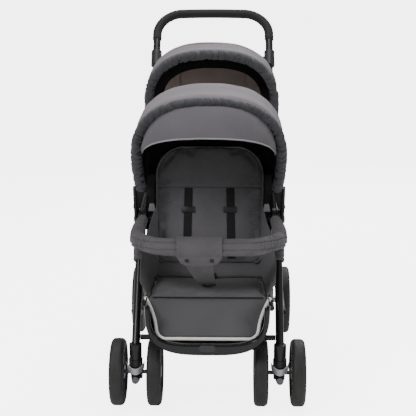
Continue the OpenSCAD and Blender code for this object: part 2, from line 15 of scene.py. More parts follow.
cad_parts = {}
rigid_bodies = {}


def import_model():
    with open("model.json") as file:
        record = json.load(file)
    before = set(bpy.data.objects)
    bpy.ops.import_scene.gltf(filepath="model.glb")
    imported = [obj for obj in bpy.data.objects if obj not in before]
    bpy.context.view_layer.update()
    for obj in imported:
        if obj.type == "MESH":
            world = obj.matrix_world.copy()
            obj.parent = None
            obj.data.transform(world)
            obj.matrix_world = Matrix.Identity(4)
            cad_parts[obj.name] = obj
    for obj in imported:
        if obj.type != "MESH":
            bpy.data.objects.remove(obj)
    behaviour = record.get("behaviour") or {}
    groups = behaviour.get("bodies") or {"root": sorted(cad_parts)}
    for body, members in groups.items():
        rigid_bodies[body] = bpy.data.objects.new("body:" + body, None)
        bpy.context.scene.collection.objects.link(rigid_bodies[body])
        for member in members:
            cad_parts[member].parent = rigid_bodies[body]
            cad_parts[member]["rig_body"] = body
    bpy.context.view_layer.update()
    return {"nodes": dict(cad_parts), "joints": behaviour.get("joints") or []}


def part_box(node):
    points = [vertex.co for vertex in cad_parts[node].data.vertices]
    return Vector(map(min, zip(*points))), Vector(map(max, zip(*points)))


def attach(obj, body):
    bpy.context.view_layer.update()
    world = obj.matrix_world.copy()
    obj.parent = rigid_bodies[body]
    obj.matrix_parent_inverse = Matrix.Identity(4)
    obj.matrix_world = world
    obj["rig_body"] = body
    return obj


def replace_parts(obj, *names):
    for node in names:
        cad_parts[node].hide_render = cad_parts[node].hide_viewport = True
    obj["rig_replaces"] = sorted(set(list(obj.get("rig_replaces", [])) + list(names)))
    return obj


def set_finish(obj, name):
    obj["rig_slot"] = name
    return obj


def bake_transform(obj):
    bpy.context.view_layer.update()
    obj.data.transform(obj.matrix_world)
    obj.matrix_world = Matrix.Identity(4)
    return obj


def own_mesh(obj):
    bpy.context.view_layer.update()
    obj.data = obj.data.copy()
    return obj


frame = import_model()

# %% [markdown]
# ## Driving places
#
# All places follow from the frame. The joints give the two hubs and the backrest hinge. In a side view
# a point is a pair (y, z), where -Y is the way the stroller drives. The rear seat is the front seat
# moved back and up by one fixed step, so every soft piece is modelled once, in front, and copied.

# %% Hubs, hinge and side-view helpers
JOINTS = {joint["name"]: joint for joint in frame["joints"]}


def side_point(joint_name):
    """The (y, z) of a joint's axis."""
    return Vector(JOINTS[joint_name]["pos_m"][1:])


FRONT_HUB = side_point("frame_fold")
REAR_HUB = side_point("rear_frame_fold")
BACK_HINGE = side_point("front_recline")
SEAT_STEP = Vector((0, *(REAR_HUB - FRONT_HUB)))
TUBE_X = JOINTS["caster_right_swivel"]["pos_m"][0]
HANDLE_AXIS = Vector(JOINTS["handle_height"]["axis"][1:]).normalized()
SIDES = (("left", -1), ("right", 1))


def side(degrees):
    """Unit vector of the side view at an angle above +Y."""
    return Vector((math.cos(math.radians(degrees)), math.sin(math.radians(degrees))))


def at(x, point):
    """A space point from its x and its side-view point."""
    return Vector((x, point[0], point[1]))


print("hubs", FRONT_HUB, REAR_HUB, "seat step", SEAT_STEP)

# %% [markdown]
# ## Camera, floor and light
#
# The stroller stands on a plain pale floor under large soft lights, as in a catalogue picture. The
# camera is long and level with the canopies, so the tubes stay nearly parallel.

# %% Camera
CAMERA_PLACE = (0.052, -3.171, 1.194)
CAMERA_TURN = (77.3, 0, 1.1)
CAMERA_LENS = 85.15

bpy.ops.object.select_all(action="DESELECT")
bpy.ops.object.camera_add(location=CAMERA_PLACE, rotation=[math.radians(angle) for angle in CAMERA_TURN])
camera = bpy.context.object
camera.name = "camera"
camera.data.lens = CAMERA_LENS
camera.data.sensor_width = 36
bpy.context.scene.camera = camera

# %% Floor
FLOOR_SIZE = 400
FLOOR_GLOW = 4.6   # the lit paper, which the camera sees and the stroller doesn't

bpy.ops.mesh.primitive_plane_add(size=FLOOR_SIZE, location=(0, 0, 0))
floor = bpy.context.object
floor.name = "floor"
floor_paint = bpy.data.materials.new("floor_paper")
floor_paint.use_nodes = True
floor_skin = floor_paint.node_tree.nodes["Principled BSDF"]
floor_skin.inputs["Base Color"].default_value = (0.92, 0.92, 0.92, 1)
floor_skin.inputs["Roughness"].default_value = 0.9
floor_skin.inputs["Specular IOR Level"].default_value = 0.1
floor_skin.inputs["Emission Color"].default_value = (1, 1, 1, 1)
seen_by = floor_paint.node_tree.nodes.new("ShaderNodeLightPath")
glow = floor_paint.node_tree.nodes.new("ShaderNodeMath")
glow.operation = "MULTIPLY"
glow.inputs[1].default_value = FLOOR_GLOW
floor_paint.node_tree.links.new(seen_by.outputs["Is Camera Ray"], glow.inputs[0])
floor_paint.node_tree.links.new(glow.outputs[0], floor_skin.inputs["Emission Strength"])
floor.data.materials.append(floor_paint)


# %% Soft lights and a bright room
def soft_light(name, place, aim, size, power):
    """A square area light that faces a point."""
    turn = (Vector(aim) - Vector(place)).to_track_quat("-Z", "Y").to_euler()
    bpy.ops.object.light_add(type="AREA", location=place, rotation=turn)
    light = bpy.context.object
    light.name = name
    light.data.size = size
    light.data.energy = power
    return light


MIDDLE = (0, 0, 0.55)
soft_light("key_light", (-1.9, -2.6, 2.9), MIDDLE, 1.2, 75)
soft_light("fill_light", (2.4, -2.4, 1.6), MIDDLE, 1.4, 26)
soft_light("top_light", (0, 0.4, 3.4), MIDDLE, 1.8, 75)
soft_light("rim_light", (1.2, 2.6, 2.4), MIDDLE, 1.2, 40)

room = bpy.data.worlds.new("room")
bpy.context.scene.world = room
room.use_nodes = True
room.node_tree.nodes["Background"].inputs["Color"].default_value = (1, 1, 1, 1)
ROOM_LIGHT = 0.42
ROOM_SEEN = 5.1    # how bright the backdrop is to the camera; it lights the stroller at ROOM_LIGHT
room_light = room.node_tree.nodes["Background"]
seen_room = room.node_tree.nodes.new("ShaderNodeLightPath")
room_mix = room.node_tree.nodes.new("ShaderNodeMath")
room_mix.operation = "MULTIPLY_ADD"
room_mix.inputs[1].default_value = ROOM_SEEN - ROOM_LIGHT
room_mix.inputs[2].default_value = ROOM_LIGHT
room.node_tree.links.new(seen_room.outputs["Is Camera Ray"], room_mix.inputs[0])
room.node_tree.links.new(room_mix.outputs[0], room_light.inputs["Strength"])

# %% [markdown]
# ## Shared finishes as node groups
#
# Four effects are used by many materials, so each is a shader node group, built once:
# *weave* gives thread relief and a tone that is part random melange and part painted shade, darker in
# the hollows of its folds, *grain* the fine texture of moulded plastic and powder coat, *wear* a mask
# of rubbed edges, and *dust* a mask that thickens towards the floor.
# Each group takes a position, so the pattern stays fixed to the piece when a joint moves.


# %% Node-group helper
def new_group(name, inputs, outputs):
    """An empty shader group with named float inputs (name, value) and outputs, and a Position input."""
    group = bpy.data.node_groups.new(name, "ShaderNodeTree")
    group.interface.new_socket("Position", in_out="INPUT", socket_type="NodeSocketVector")
    for label, value in inputs:
        socket = group.interface.new_socket(label, in_out="INPUT", socket_type="NodeSocketFloat")
        socket.default_value = value
    for label in outputs:
        group.interface.new_socket(label, in_out="OUTPUT", socket_type="NodeSocketFloat")
    return group, group.nodes.new("NodeGroupInput"), group.nodes.new("NodeGroupOutput")


def maths(tree, operation, first, second=None, third=None):
    """One Math node; each value is a socket or a number."""
    node = tree.nodes.new("ShaderNodeMath")
    node.operation = operation
    for socket, value in zip(node.inputs, (first, second, third)):
        if value is None:
            continue
        if isinstance(value, (int, float)):
            socket.default_value = value
        else:
            tree.links.new(value, socket)
    return node.outputs[0]


def noise_value(tree, position, scale, detail=2.0):
    """A Noise Texture's value at a position."""
    node = tree.nodes.new("ShaderNodeTexNoise")
    node.inputs["Detail"].default_value = detail
    tree.links.new(position, node.inputs["Vector"])
    if isinstance(scale, (int, float)):
        node.inputs["Scale"].default_value = scale
    else:
        tree.links.new(scale, node.inputs["Scale"])
    return node.outputs["Fac"]


# %% Weave: threads at a given pitch, a random melange tone, and painted shade in the fold hollows
def build_weave():
    group, given, made = new_group("weave", [("Threads", 5200.0), ("Folds", 14.0)], ["Height", "Tone"])
    axes = group.nodes.new("ShaderNodeSeparateXYZ")
    group.links.new(given.outputs["Position"], axes.inputs[0])
    waves = [
        maths(group, "SINE", maths(group, "MULTIPLY", axes.outputs[label], given.outputs["Threads"]))
        for label in ("X", "Y", "Z")
    ]
    threads = maths(group, "ADD", maths(group, "ADD", waves[0], waves[1]), waves[2])
    creases = noise_value(group, given.outputs["Position"], given.outputs["Folds"], 4.0)
    fibres = noise_value(group, given.outputs["Position"], given.outputs["Threads"], 1.0)
    height = maths(group, "MULTIPLY_ADD", threads, 0.12, creases)
    # The tone adds the fold noise that also raises the relief. This is painted shade: the cloth is darker in
    # the fold hollows and lighter on the ridges. The fibre noise adds a random melange.
    tone = maths(group, "MULTIPLY_ADD", maths(group, "SUBTRACT", fibres, 0.5), 0.5, creases)
    group.links.new(height, made.inputs["Height"])
    group.links.new(tone, made.inputs["Tone"])
    return group


WEAVE = build_weave()


# %% Grain: the fine pebble of moulded plastic and powder coat
def build_grain():
    group, given, made = new_group("grain", [("Fineness", 1400.0)], ["Height", "Tone"])
    pebble = noise_value(group, given.outputs["Position"], given.outputs["Fineness"], 2.0)
    cloud = noise_value(group, given.outputs["Position"], 9.0, 3.0)
    group.links.new(pebble, made.inputs["Height"])
    group.links.new(cloud, made.inputs["Tone"])
    return group


GRAIN = build_grain()


# %% Wear: where corners have been rubbed
def build_wear():
    group, given, made = new_group("wear", [("Sharpness", 9.0)], ["Mask"])
    geometry = group.nodes.new("ShaderNodeNewGeometry")
    edge = maths(group, "SUBTRACT", geometry.outputs["Pointiness"], 0.52)
    edge = maths(group, "MULTIPLY", edge, given.outputs["Sharpness"])
    patches = noise_value(group, given.outputs["Position"], 60.0, 4.0)
    mask = maths(group, "MULTIPLY", edge, patches)
    mask = maths(group, "MINIMUM", maths(group, "MAXIMUM", mask, 0.0), 1.0)
    group.links.new(mask, made.inputs["Mask"])
    return group


WEAR = build_wear()


# %% Dust: thin road dust that fades out with height
def build_dust():
    group, given, made = new_group("dust", [("Reach", 0.22)], ["Mask"])
    axes = group.nodes.new("ShaderNodeSeparateXYZ")
    group.links.new(given.outputs["Position"], axes.inputs[0])
    height = maths(group, "DIVIDE", axes.outputs["Z"], given.outputs["Reach"])
    low = maths(group, "MAXIMUM", maths(group, "SUBTRACT", 1.0, height), 0.0)
    patches = noise_value(group, given.outputs["Position"], 25.0, 5.0)
    group.links.new(maths(group, "MULTIPLY", low, patches), made.inputs["Mask"])
    return group


DUST = build_dust()

# %% [markdown]
# ## Materials
#
# Each finish is a Principled shader with its own constant values, fed by the groups above. The
# groups only bend its colour, roughness and normal, so that roughness and sheen stay plain numbers.


# %% A material with a place for its pattern
def new_material(name, roughness, **constants):
    """A material, its shader and its Object coordinates. Constants name Principled inputs."""
    material = bpy.data.materials.new(name)
    material.use_nodes = True
    tree = material.node_tree
    shader = tree.nodes["Principled BSDF"]
    shader.inputs["Roughness"].default_value = roughness
    for label, value in constants.items():
        shader.inputs[label.replace("_", " ")].default_value = value
    position = tree.nodes.new("ShaderNodeTexCoord").outputs["Object"]
    return material, tree, shader, position


def use_group(tree, group, position, **values):
    """Places a group in a material with its own values."""
    node = tree.nodes.new("ShaderNodeGroup")
    node.node_tree = group
    tree.links.new(position, node.inputs["Position"])
    for label, value in values.items():
        node.inputs[label].default_value = value
    return node


def mix_colour(tree, factor, first, second):
    """Mixes two colours; each is a socket or an (r, g, b)."""
    node = tree.nodes.new("ShaderNodeMix")
    node.data_type = "RGBA"
    tree.links.new(factor, node.inputs["Factor"])
    for label, value in (("A", first), ("B", second)):
        socket = [s for s in node.inputs if s.name == label and s.type == "RGBA"][0]
        if isinstance(value, tuple):
            socket.default_value = (*value, 1)
        else:
            tree.links.new(value, socket)
    return [s for s in node.outputs if s.type == "RGBA"][0]


def bump(tree, height, strength, distance, shader):
    """Feeds a height to the shader's normal."""
    node = tree.nodes.new("ShaderNodeBump")
    node.inputs["Strength"].default_value = strength
    node.inputs["Distance"].default_value = distance
    tree.links.new(height, node.inputs["Height"])
    tree.links.new(node.outputs["Normal"], shader.inputs["Normal"])


def shade(colour, factor):
    return tuple(channel * factor for channel in colour)


# %% Cloth, webbing and piping
def cloth(name, colour, threads=5200.0, folds=14.0, relief=0.3, sheen=0.08, roughness=0.85):
    material, tree, shader, position = new_material(
        name, roughness, Sheen_Weight=sheen, Sheen_Roughness=0.5, Specular_IOR_Level=0.25
    )
    weave = use_group(tree, WEAVE, position, Threads=threads, Folds=folds)
    # The weave's tone is part random melange and part painted shade in the fold hollows.
    mixed = mix_colour(tree, weave.outputs["Tone"], shade(colour, 0.78), shade(colour, 1.22))
    tree.links.new(mixed, shader.inputs["Base Color"])
    bump(tree, weave.outputs["Height"], relief, 0.004, shader)
    return material


SEAT_CLOTH = cloth("seat_cloth", (0.102, 0.098, 0.104))
LEGREST_CLOTH = cloth("legrest_cloth", (0.088, 0.087, 0.092), folds=6.0)
GUARD_CLOTH = cloth("guard_cloth", (0.098, 0.093, 0.098), folds=22.0, relief=0.4)
CANOPY_CLOTH = cloth("canopy_cloth", (0.17, 0.152, 0.168), threads=6200.0, folds=8.0, relief=0.25)
VISOR_CLOTH = cloth("visor_cloth", (0.082, 0.077, 0.085), threads=6200.0, folds=7.0, relief=0.2)
ROLL_CLOTH = cloth("roll_cloth", (0.050, 0.050, 0.056), folds=38.0, relief=0.6, sheen=0.12, roughness=0.58)
# The lining colour is several times paler than the dark brown cloth: painted light for the shaded inside of
# the rear canopy.
LINING_CLOTH = cloth("lining_cloth", (0.30, 0.235, 0.215), threads=6200.0, relief=0.2, sheen=0.1)
SHADE_CLOTH = cloth("shade_cloth", (0.012, 0.012, 0.013), threads=6200.0, relief=0.2, sheen=0.05)
WEBBING = cloth("webbing", (0.011, 0.011, 0.012), threads=3600.0, folds=60.0, relief=0.5, sheen=0.15)
PALE_PIPING = cloth("pale_piping", (0.86, 0.84, 0.80), threads=6200.0, folds=30.0, relief=0.2, roughness=0.6)
GREY_PIPING = cloth("grey_piping", (0.13, 0.13, 0.12), threads=6200.0, folds=30.0, relief=0.2)
EDGE_PIPING = cloth("edge_piping", (0.24, 0.23, 0.24), threads=6200.0, folds=30.0, relief=0.2)


# %% Painted tube, plastics, metal, rubber and foam
def hard(name, colour, roughness, fineness=1400.0, relief=0.15, rubbed=0.0, dusty=0.0, **constants):
    """A hard finish with grain, optional rubbed edges and optional road dust."""
    material, tree, shader, position = new_material(name, roughness, **constants)
    grain = use_group(tree, GRAIN, position, Fineness=fineness)
    mixed = mix_colour(tree, grain.outputs["Tone"], shade(colour, 0.82), shade(colour, 1.18))
    if rubbed:
        wear = use_group(tree, WEAR, position, Sharpness=rubbed)
        mixed = mix_colour(tree, wear.outputs["Mask"], mixed, shade(colour, 3.0))
    if dusty:
        dust = use_group(tree, DUST, position, Reach=dusty)
        mixed = mix_colour(tree, dust.outputs["Mask"], mixed, (0.045, 0.043, 0.041))
    tree.links.new(mixed, shader.inputs["Base Color"])
    spread = maths(tree, "MULTIPLY_ADD", grain.outputs["Tone"], 0.12, roughness - 0.06)
    tree.links.new(spread, shader.inputs["Roughness"])
    bump(tree, grain.outputs["Height"], relief, 0.0006, shader)
    return material


TUBE_PAINT = hard("tube_paint", (0.007, 0.007, 0.008), 0.30, 1800.0, 0.12, 6.0, Specular_IOR_Level=0.35)
BLACK_PLASTIC = hard("black_plastic", (0.009, 0.009, 0.010), 0.42, 1500.0, 0.25, 5.0, Specular_IOR_Level=0.35)
GLOSS_PLASTIC = hard("gloss_plastic", (0.004, 0.004, 0.005), 0.16, 500.0, 0.02, 4.0, Specular_IOR_Level=0.4)
BADGE_PLASTIC = hard("badge_plastic", (0.014, 0.014, 0.016), 0.22, 500.0, 0.05)
SILVER_PLASTIC = hard("silver_plastic", (0.42, 0.42, 0.44), 0.35, 1600.0, 0.1, Metallic=0.3)
STEEL = hard("steel", (0.5, 0.5, 0.52), 0.28, 1600.0, 0.08, Metallic=1.0)
TYRE_RUBBER = hard("tyre_rubber", (0.009, 0.009, 0.009), 0.55, 900.0, 0.4, 0.0, 0.3, Specular_IOR_Level=0.35)
RIM_PLASTIC = hard("rim_plastic", (0.15, 0.15, 0.16), 0.38, 1400.0, 0.12, 3.0, 0.2, Metallic=0.25)
GRIP_FOAM = hard("grip_foam", (0.012, 0.012, 0.013), 0.75, 700.0, 0.6, 2.0, Specular_IOR_Level=0.3)
PEDAL_PLASTIC = hard("pedal_plastic", (0.02, 0.02, 0.021), 0.5, 1400.0, 0.3, 6.0)
print("materials", len(bpy.data.materials))

# %% [markdown]
# ## Finishes on the CAD parts
#
# A CAD part whose shape is right stays as it is and only gets a material. Turned and drilled parts,
# such as hubs, posts, legs and tyres, are of this kind.

# %% Materials on the CAD nodes
CAD_FINISH = {
    TUBE_PAINT: [
        "side_rails", "front_seat_frame", "rear_seat_frame", "front_leg_left", "front_leg_right",
        "front_cross_tube", "rear_post_left", "rear_post_right", "lower_links", "bumper_bar",
        "front_canopy_rear_hoop", "rear_canopy_rear_hoop", "front_canopy_mid_hoop",
        "rear_canopy_mid_hoop", "front_canopy_rim", "rear_canopy_rim",
    ],
    BLACK_PLASTIC: [
        "caster_housing_left", "caster_housing_right", "lock_collars", "handle_button_left",
        "handle_button_right", "front_backrest_board", "rear_backrest_board",
    ],
    SILVER_PLASTIC: ["caster_cover_left", "caster_cover_right"],
    STEEL: ["hub_pins", "rear_axle_rod"],
    TYRE_RUBBER: ["front_tyres_left", "front_tyres_right", "rear_tyre_left", "rear_tyre_right"],
    RIM_PLASTIC: ["front_rims_left", "front_rims_right", "rear_rim_left", "rear_rim_right"],
    BADGE_PLASTIC: ["tray_badge"],
    PEDAL_PLASTIC: ["brake_pedal"],
}
for finish, names in CAD_FINISH.items():
    for node_name in names:
        node = frame["nodes"][node_name]
        if not node.material_slots:
            node.data.materials.append(finish)
        for material_slot in node.material_slots:
            material_slot.material = finish

# %% [markdown]
# ## Modelling helpers
#
# Two starts serve nearly every soft part. A *grid* is laid over a curved surface by giving each of
# its points a place, as cloth is laid over a hoop. A *sleeve* is a grid wrapped round a path, welded
# along its seam and closed at its ends, as a sewn tube is. A wall thickness, a bevel or a subdivision
# is then added with a modifier and applied.


# %% Select one piece, apply its modifiers, give it a finish
def only(piece):
    """Makes a piece the only selected and the active object."""
    bpy.ops.object.select_all(action="DESELECT")
    piece.select_set(True)
    bpy.context.view_layer.objects.active = piece


def apply_modifier(piece, kind, **values):
    """Adds one modifier, sets its values and applies it."""
    only(piece)
    modifier = piece.modifiers.new(kind.title(), kind)
    for label, value in values.items():
        setattr(modifier, label, value)
    bpy.ops.object.modifier_apply(modifier=modifier.name)


def finish_piece(piece, finish, slot, body=None, nodes=()):
    """Smooth shading, material, slot, the body it rides on and the CAD nodes it stands for."""
    only(piece)
    bpy.ops.object.shade_smooth_by_angle(angle=math.radians(50))
    piece.data.materials.clear()
    piece.data.materials.append(finish)
    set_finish(piece, slot)
    if body:
        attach(piece, body)
    if nodes:
        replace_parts(piece, *nodes)
    return piece


# %% Grid and sleeve
def grid(name, columns, rows, place_of):
    """A grid of faces whose points go to place_of(u, v), with u and v from 0 to 1."""
    bpy.ops.object.select_all(action="DESELECT")
    bpy.ops.mesh.primitive_grid_add(x_subdivisions=columns, y_subdivisions=rows, size=2, location=(0, 0, 0))
    piece = bpy.context.object
    piece.name = piece.data.name = name
    for point in piece.data.vertices:
        point.co = place_of((point.co.x + 1) / 2, (point.co.y + 1) / 2)
    return piece


def area_of(piece):
    """Area of all faces, measured on a sheet before it is given a thickness."""
    return sum(polygon.area for polygon in piece.data.polygons)


def close_and_turn_out(piece, weld=1e-5):
    """Welds seams, closes open ends and points every face outwards."""
    only(piece)
    bpy.ops.object.mode_set(mode="EDIT")
    bpy.ops.mesh.select_all(action="SELECT")
    bpy.ops.mesh.remove_doubles(threshold=weld)
    bpy.ops.mesh.select_all(action="DESELECT")
    bpy.ops.mesh.select_mode(type="EDGE")
    bpy.ops.mesh.select_non_manifold(extend=False, use_wire=False, use_boundary=True)
    bpy.ops.mesh.fill_holes(sides=0)
    bpy.ops.mesh.select_all(action="SELECT")
    bpy.ops.mesh.normals_make_consistent(inside=False)
    bpy.ops.mesh.select_mode(type="VERT")
    bpy.ops.object.mode_set(mode="OBJECT")


def sleeve(name, path, radius, across, along=160, around=28):
    """A closed tube along path(t), with radius(t, turn); across is a vector square to the path's plane."""
    across = Vector(across).normalized()
    step = 0.5 / along

    def place_of(u, v):
        forward = (path(min(v + step, 1)) - path(max(v - step, 0))).normalized()
        outward = forward.cross(across).normalized()
        turn = 2 * math.pi * u
        return path(v) + radius(v, turn) * (math.cos(turn) * outward + math.sin(turn) * across)

    piece = grid(name, around, along, place_of)
    close_and_turn_out(piece)
    return piece


def along_points(points):
    """A path(t) that runs through points at an even speed."""
    lengths = [0]
    for first, second in zip(points, points[1:]):
        lengths.append(lengths[-1] + (second - first).length)

    def path(t):
        goal = min(max(t, 0), 1) * lengths[-1]
        for index in range(1, len(points)):
            if goal <= lengths[index]:
                span = lengths[index] - lengths[index - 1]
                return points[index - 1].lerp(points[index], (goal - lengths[index - 1]) / span)
        return points[-1]

    path.length = lengths[-1]
    return path


def even(radius):
    """A sleeve radius that is the same everywhere."""
    return lambda t, turn: radius


# %% Cubes and round buttons that are shaped in edit mode
def cube(name, half_sizes=None, cuts=0):
    """A cube from -1 to 1, scaled to its half sizes and subdivided."""
    bpy.ops.object.select_all(action="DESELECT")
    bpy.ops.mesh.primitive_cube_add(size=2, location=(0, 0, 0))
    piece = bpy.context.object
    piece.name = piece.data.name = name
    bpy.ops.object.mode_set(mode="EDIT")
    bpy.ops.mesh.select_all(action="SELECT")
    if half_sizes:
        bpy.ops.transform.resize(value=half_sizes)
    if cuts:
        bpy.ops.mesh.subdivide(number_cuts=cuts)
    bpy.ops.object.mode_set(mode="OBJECT")
    return piece


def inset_faces(piece, chosen, *steps):
    """Insets the faces whose normal is chosen, by one (thickness, depth) after another."""
    for group in (piece.data.edges, piece.data.vertices, piece.data.polygons):
        for item in group:
            item.select = False
    for face in piece.data.polygons:
        face.select = chosen(face.normal)
    bpy.ops.object.mode_set(mode="EDIT")
    bpy.ops.mesh.select_mode(type="FACE")
    for thickness, depth in steps:
        bpy.ops.mesh.inset(thickness=thickness, depth=depth)
    bpy.ops.mesh.select_mode(type="VERT")
    bpy.ops.object.mode_set(mode="OBJECT")


def round_button(name, corners, radius, depth, steps, soft, place):
    """A cylinder that faces the front, with rings inset in its face and softened edges."""
    bpy.ops.object.select_all(action="DESELECT")
    bpy.ops.mesh.primitive_cylinder_add(vertices=corners, radius=radius, depth=depth, location=(0, 0, 0))
    piece = bpy.context.object
    piece.name = piece.data.name = name
    inset_faces(piece, lambda normal: normal.z > 0.9, *steps)
    apply_modifier(piece, "BEVEL", width=soft, segments=2, limit_method="ANGLE")
    turn = Vector((0, -1, 0)).to_track_quat("Z", "Y").to_matrix().to_4x4()
    piece.data.transform(Matrix.Translation(place) @ turn)
    return piece


# %% Copies and creases
def copy_to_rear(piece, name):
    """A copy with its own mesh, one seat step back and up."""
    twin = piece.copy()
    twin.data = piece.data.copy()
    twin.name = twin.data.name = name
    bpy.context.collection.objects.link(twin)
    twin.data.transform(Matrix.Translation(SEAT_STEP))
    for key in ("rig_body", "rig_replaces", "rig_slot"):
        if key in twin:
            del twin[key]
    twin.parent = None
    return twin


def ripple(place, size, seed=0.0):
    """Smooth noise from -1 to 1 at a place, for creases of a given size in metres."""
    return noise.noise(Vector(place) / size + Vector((seed, seed, seed)))


# %% [markdown]
# ## Push handle
#
# The handle is one tube bent into a U, with closed-cell foam round its top. CAD holds a faceted tube;
# here the same path, two straight legs and two quarter turns, is swept finely, and the foam gets
# rounded ends and a slightly uneven skin.

# %% Handle tube and foam grip
HANDLE_REACH = 0.606
HANDLE_BEND = 0.090
HANDLE_BOW = 0.004
TUBE_LOW = 0.425
GRIP_START = 0.493
UPPER_RADIUS = 0.0135
GRIP_RADIUS = 0.0165


def handle_points(start):
    """Points of the U from one side to the other; start is how far up the tubes it begins."""
    half = [Vector((TUBE_X, start + (HANDLE_REACH - HANDLE_BEND - start) * k / 12)) for k in range(12)]
    for k in range(19):
        turn = math.radians(90 * k / 18)
        half.append(Vector((
            TUBE_X - HANDLE_BEND + HANDLE_BEND * math.cos(turn),
            HANDLE_REACH - HANDLE_BEND + HANDLE_BEND * math.sin(turn),
        )))
    half += [Vector(((TUBE_X - HANDLE_BEND) * (1 - k / 8), HANDLE_REACH)) for k in range(1, 8)]
    whole = half + [Vector((-p[0], p[1])) for p in reversed(half)]
    for point in whole:
        point[1] += HANDLE_BOW * max(1 - (point[0] / (TUBE_X - HANDLE_BEND / 2)) ** 2, 0)
    return [at(p[0], REAR_HUB + p[1] * HANDLE_AXIS) for p in whole]


HANDLE_ACROSS = (0, -HANDLE_AXIS[1], HANDLE_AXIS[0])


def foam_radius(t, turn):
    end = min(t, 1 - t) / 0.008
    rounding = 0.003 * (1 - math.sqrt(1 - (1 - min(end, 1)) ** 2))
    return GRIP_RADIUS - rounding


handle = sleeve("handle_bar", along_points(handle_points(TUBE_LOW)), even(UPPER_RADIUS), HANDLE_ACROSS)
finish_piece(handle, TUBE_PAINT, "black_tube", "handle", ["handle_tube"])
grip = sleeve("foam_grip", along_points(handle_points(GRIP_START)), foam_radius, HANDLE_ACROSS, 200, 32)
finish_piece(grip, GRIP_FOAM, "foam", "handle", ["handle_grip"])

# %% [markdown]
# ## Canopies
#
# A canopy is one curved sheet over three hoops that turn about the hub. Its outline is an arch: it
# widens from the pivot and closes over the top. The sheet sags a little between hoops, and at each
# hoop a narrow sewn channel stands up. It is cut into a back and a top sheet at the middle hoop.

# %% The arch that all canopy pieces share
CANOPY_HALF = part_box("front_canopy_rim")[1].x
CANOPY_REACH = 0.408
ARCH_WIDE = 0.210
ARCH_LOW = 0.060
ARCH_PINCH = 0.022
ARCH_POWER = 0.8
SHEET_START = 0.120
FRONT_ANGLES = (55, 83.25, 111.5)
REAR_ANGLES = (70, 89.5, 109)
CANOPIES = (("front", FRONT_HUB, FRONT_ANGLES), ("rear", REAR_HUB, REAR_ANGLES))
SIDE_SHARE = 0.22


def arch(t, half, reach, start=SHEET_START):
    """(distance from the pivot, x) on the arch; t runs from 0 at one foot to 1 at the other."""
    sign = -1 if t < 0.5 else 1
    climb = 1 - abs(2 * t - 1)
    if climb < SIDE_SHARE:
        distance = start + (ARCH_WIDE - start) * climb / SIDE_SHARE
        x = half - ARCH_PINCH * ((ARCH_WIDE - distance) / (ARCH_WIDE - ARCH_LOW)) ** 2
    else:
        turn = math.pi / 2 * (climb - SIDE_SHARE) / (1 - SIDE_SHARE)
        distance = ARCH_WIDE + (reach - ARCH_WIDE) * math.sin(turn) ** ARCH_POWER
        x = half * max(math.cos(turn), 0) ** ARCH_POWER
    return distance, sign * x


def on_arch(hub, angle, t, half, reach, start=SHEET_START):
    distance, x = arch(t, half, reach, start)
    return at(x, hub + distance * side(angle))


# %% One canopy sheet between two hoops
CANOPY_SAG = 0.010
SEAM_RISE = 0.0012


def canopy_sheet(name, hub, low, high, inset, node, tuck_depth=0.0, lap=0.0):
    """Fabric from the hoop at angle low to the hoop at angle high."""
    fabric = 0.0012

    def place_of(u, v):
        angle = low + (high + lap - low) * v
        drop = CANOPY_SAG * math.sin(math.pi * v) ** 2 * math.sin(math.pi * u) ** 0.5
        crease = 0.0016 * ripple((u * 7, v * 0.8, low), 0.35)
        channel = SEAM_RISE * math.exp(-((min(v, 1 - v) * (high - low) / 2.2) ** 2))
        tuck = tuck_depth * max(v - 0.9, 0) / 0.1
        close = (inset - LAP_INSET) * max(v - 0.8, 0) / 0.2 if lap else 0
        shift = channel + crease - drop - inset - tuck + close
        return on_arch(hub, angle, u, CANOPY_HALF + shift, CANOPY_REACH + shift)

    piece = grid(name, 150, 28, place_of)
    apply_modifier(piece, "SOLIDIFY", thickness=fabric, offset=0)
    close_and_turn_out(piece, 1e-6)
    finish_piece(piece, CANOPY_CLOTH, "canopy_fabric", nodes=[node])
    middle = hub + CANOPY_REACH * side(low), hub + CANOPY_REACH * side(high)
    at(0, middle[0])
    at(0, middle[1])
    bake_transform(piece)
    crown = along_points([on_arch(hub, 90, k / 60, CANOPY_HALF, CANOPY_REACH) for k in range(61)])
    return piece


BACK_INSET = 0.0075
TOP_INSET = 0.0012
LAP_INSET = 0.0036
for place_name, hub, angles in CANOPIES:
    canopy_sheet(
        f"{place_name}_canopy_back_cloth", hub, angles[0], angles[1], BACK_INSET,
        f"{place_name}_canopy_back_panel", lap=3.0,
    )
    canopy_sheet(
        f"{place_name}_canopy_top_cloth", hub, angles[1], angles[2] - 1.4, TOP_INSET,
        f"{place_name}_canopy_top_panel", 0.0135,
    )

# %% [markdown]
# ## Canopy rims
#
# The front edge of each canopy is a padded roll: cloth gathered over a foam strip on the first hoop.
# The gathers are what makes it read as fabric, so the roll's radius is cut by narrow random pleats
# that run across it.

# %% Gathered roll round each rim hoop
ROLL_RADIUS = 0.0152
ROLL_INSET = 0.013
RIM_START = 0.104
ROLL_SEEDS = {"front": 3.1, "rear": 8.7}


def pleats(t, turn, seed, count=46):
    """Depth of the gathers, from 0 to 1, at a place on a roll."""
    lean = t * count + 0.35 * math.sin(turn + seed)
    cell = noise.noise(Vector((lean, seed, 0.3 * math.cos(turn))))
    fine = noise.noise(Vector((lean * 2.7, seed + 5, 0.5 * math.sin(turn))))
    sharp = 1 - min(abs(cell) / 0.22, 1)
    return 0.8 * sharp ** 2 + 0.7 * max(fine, 0)


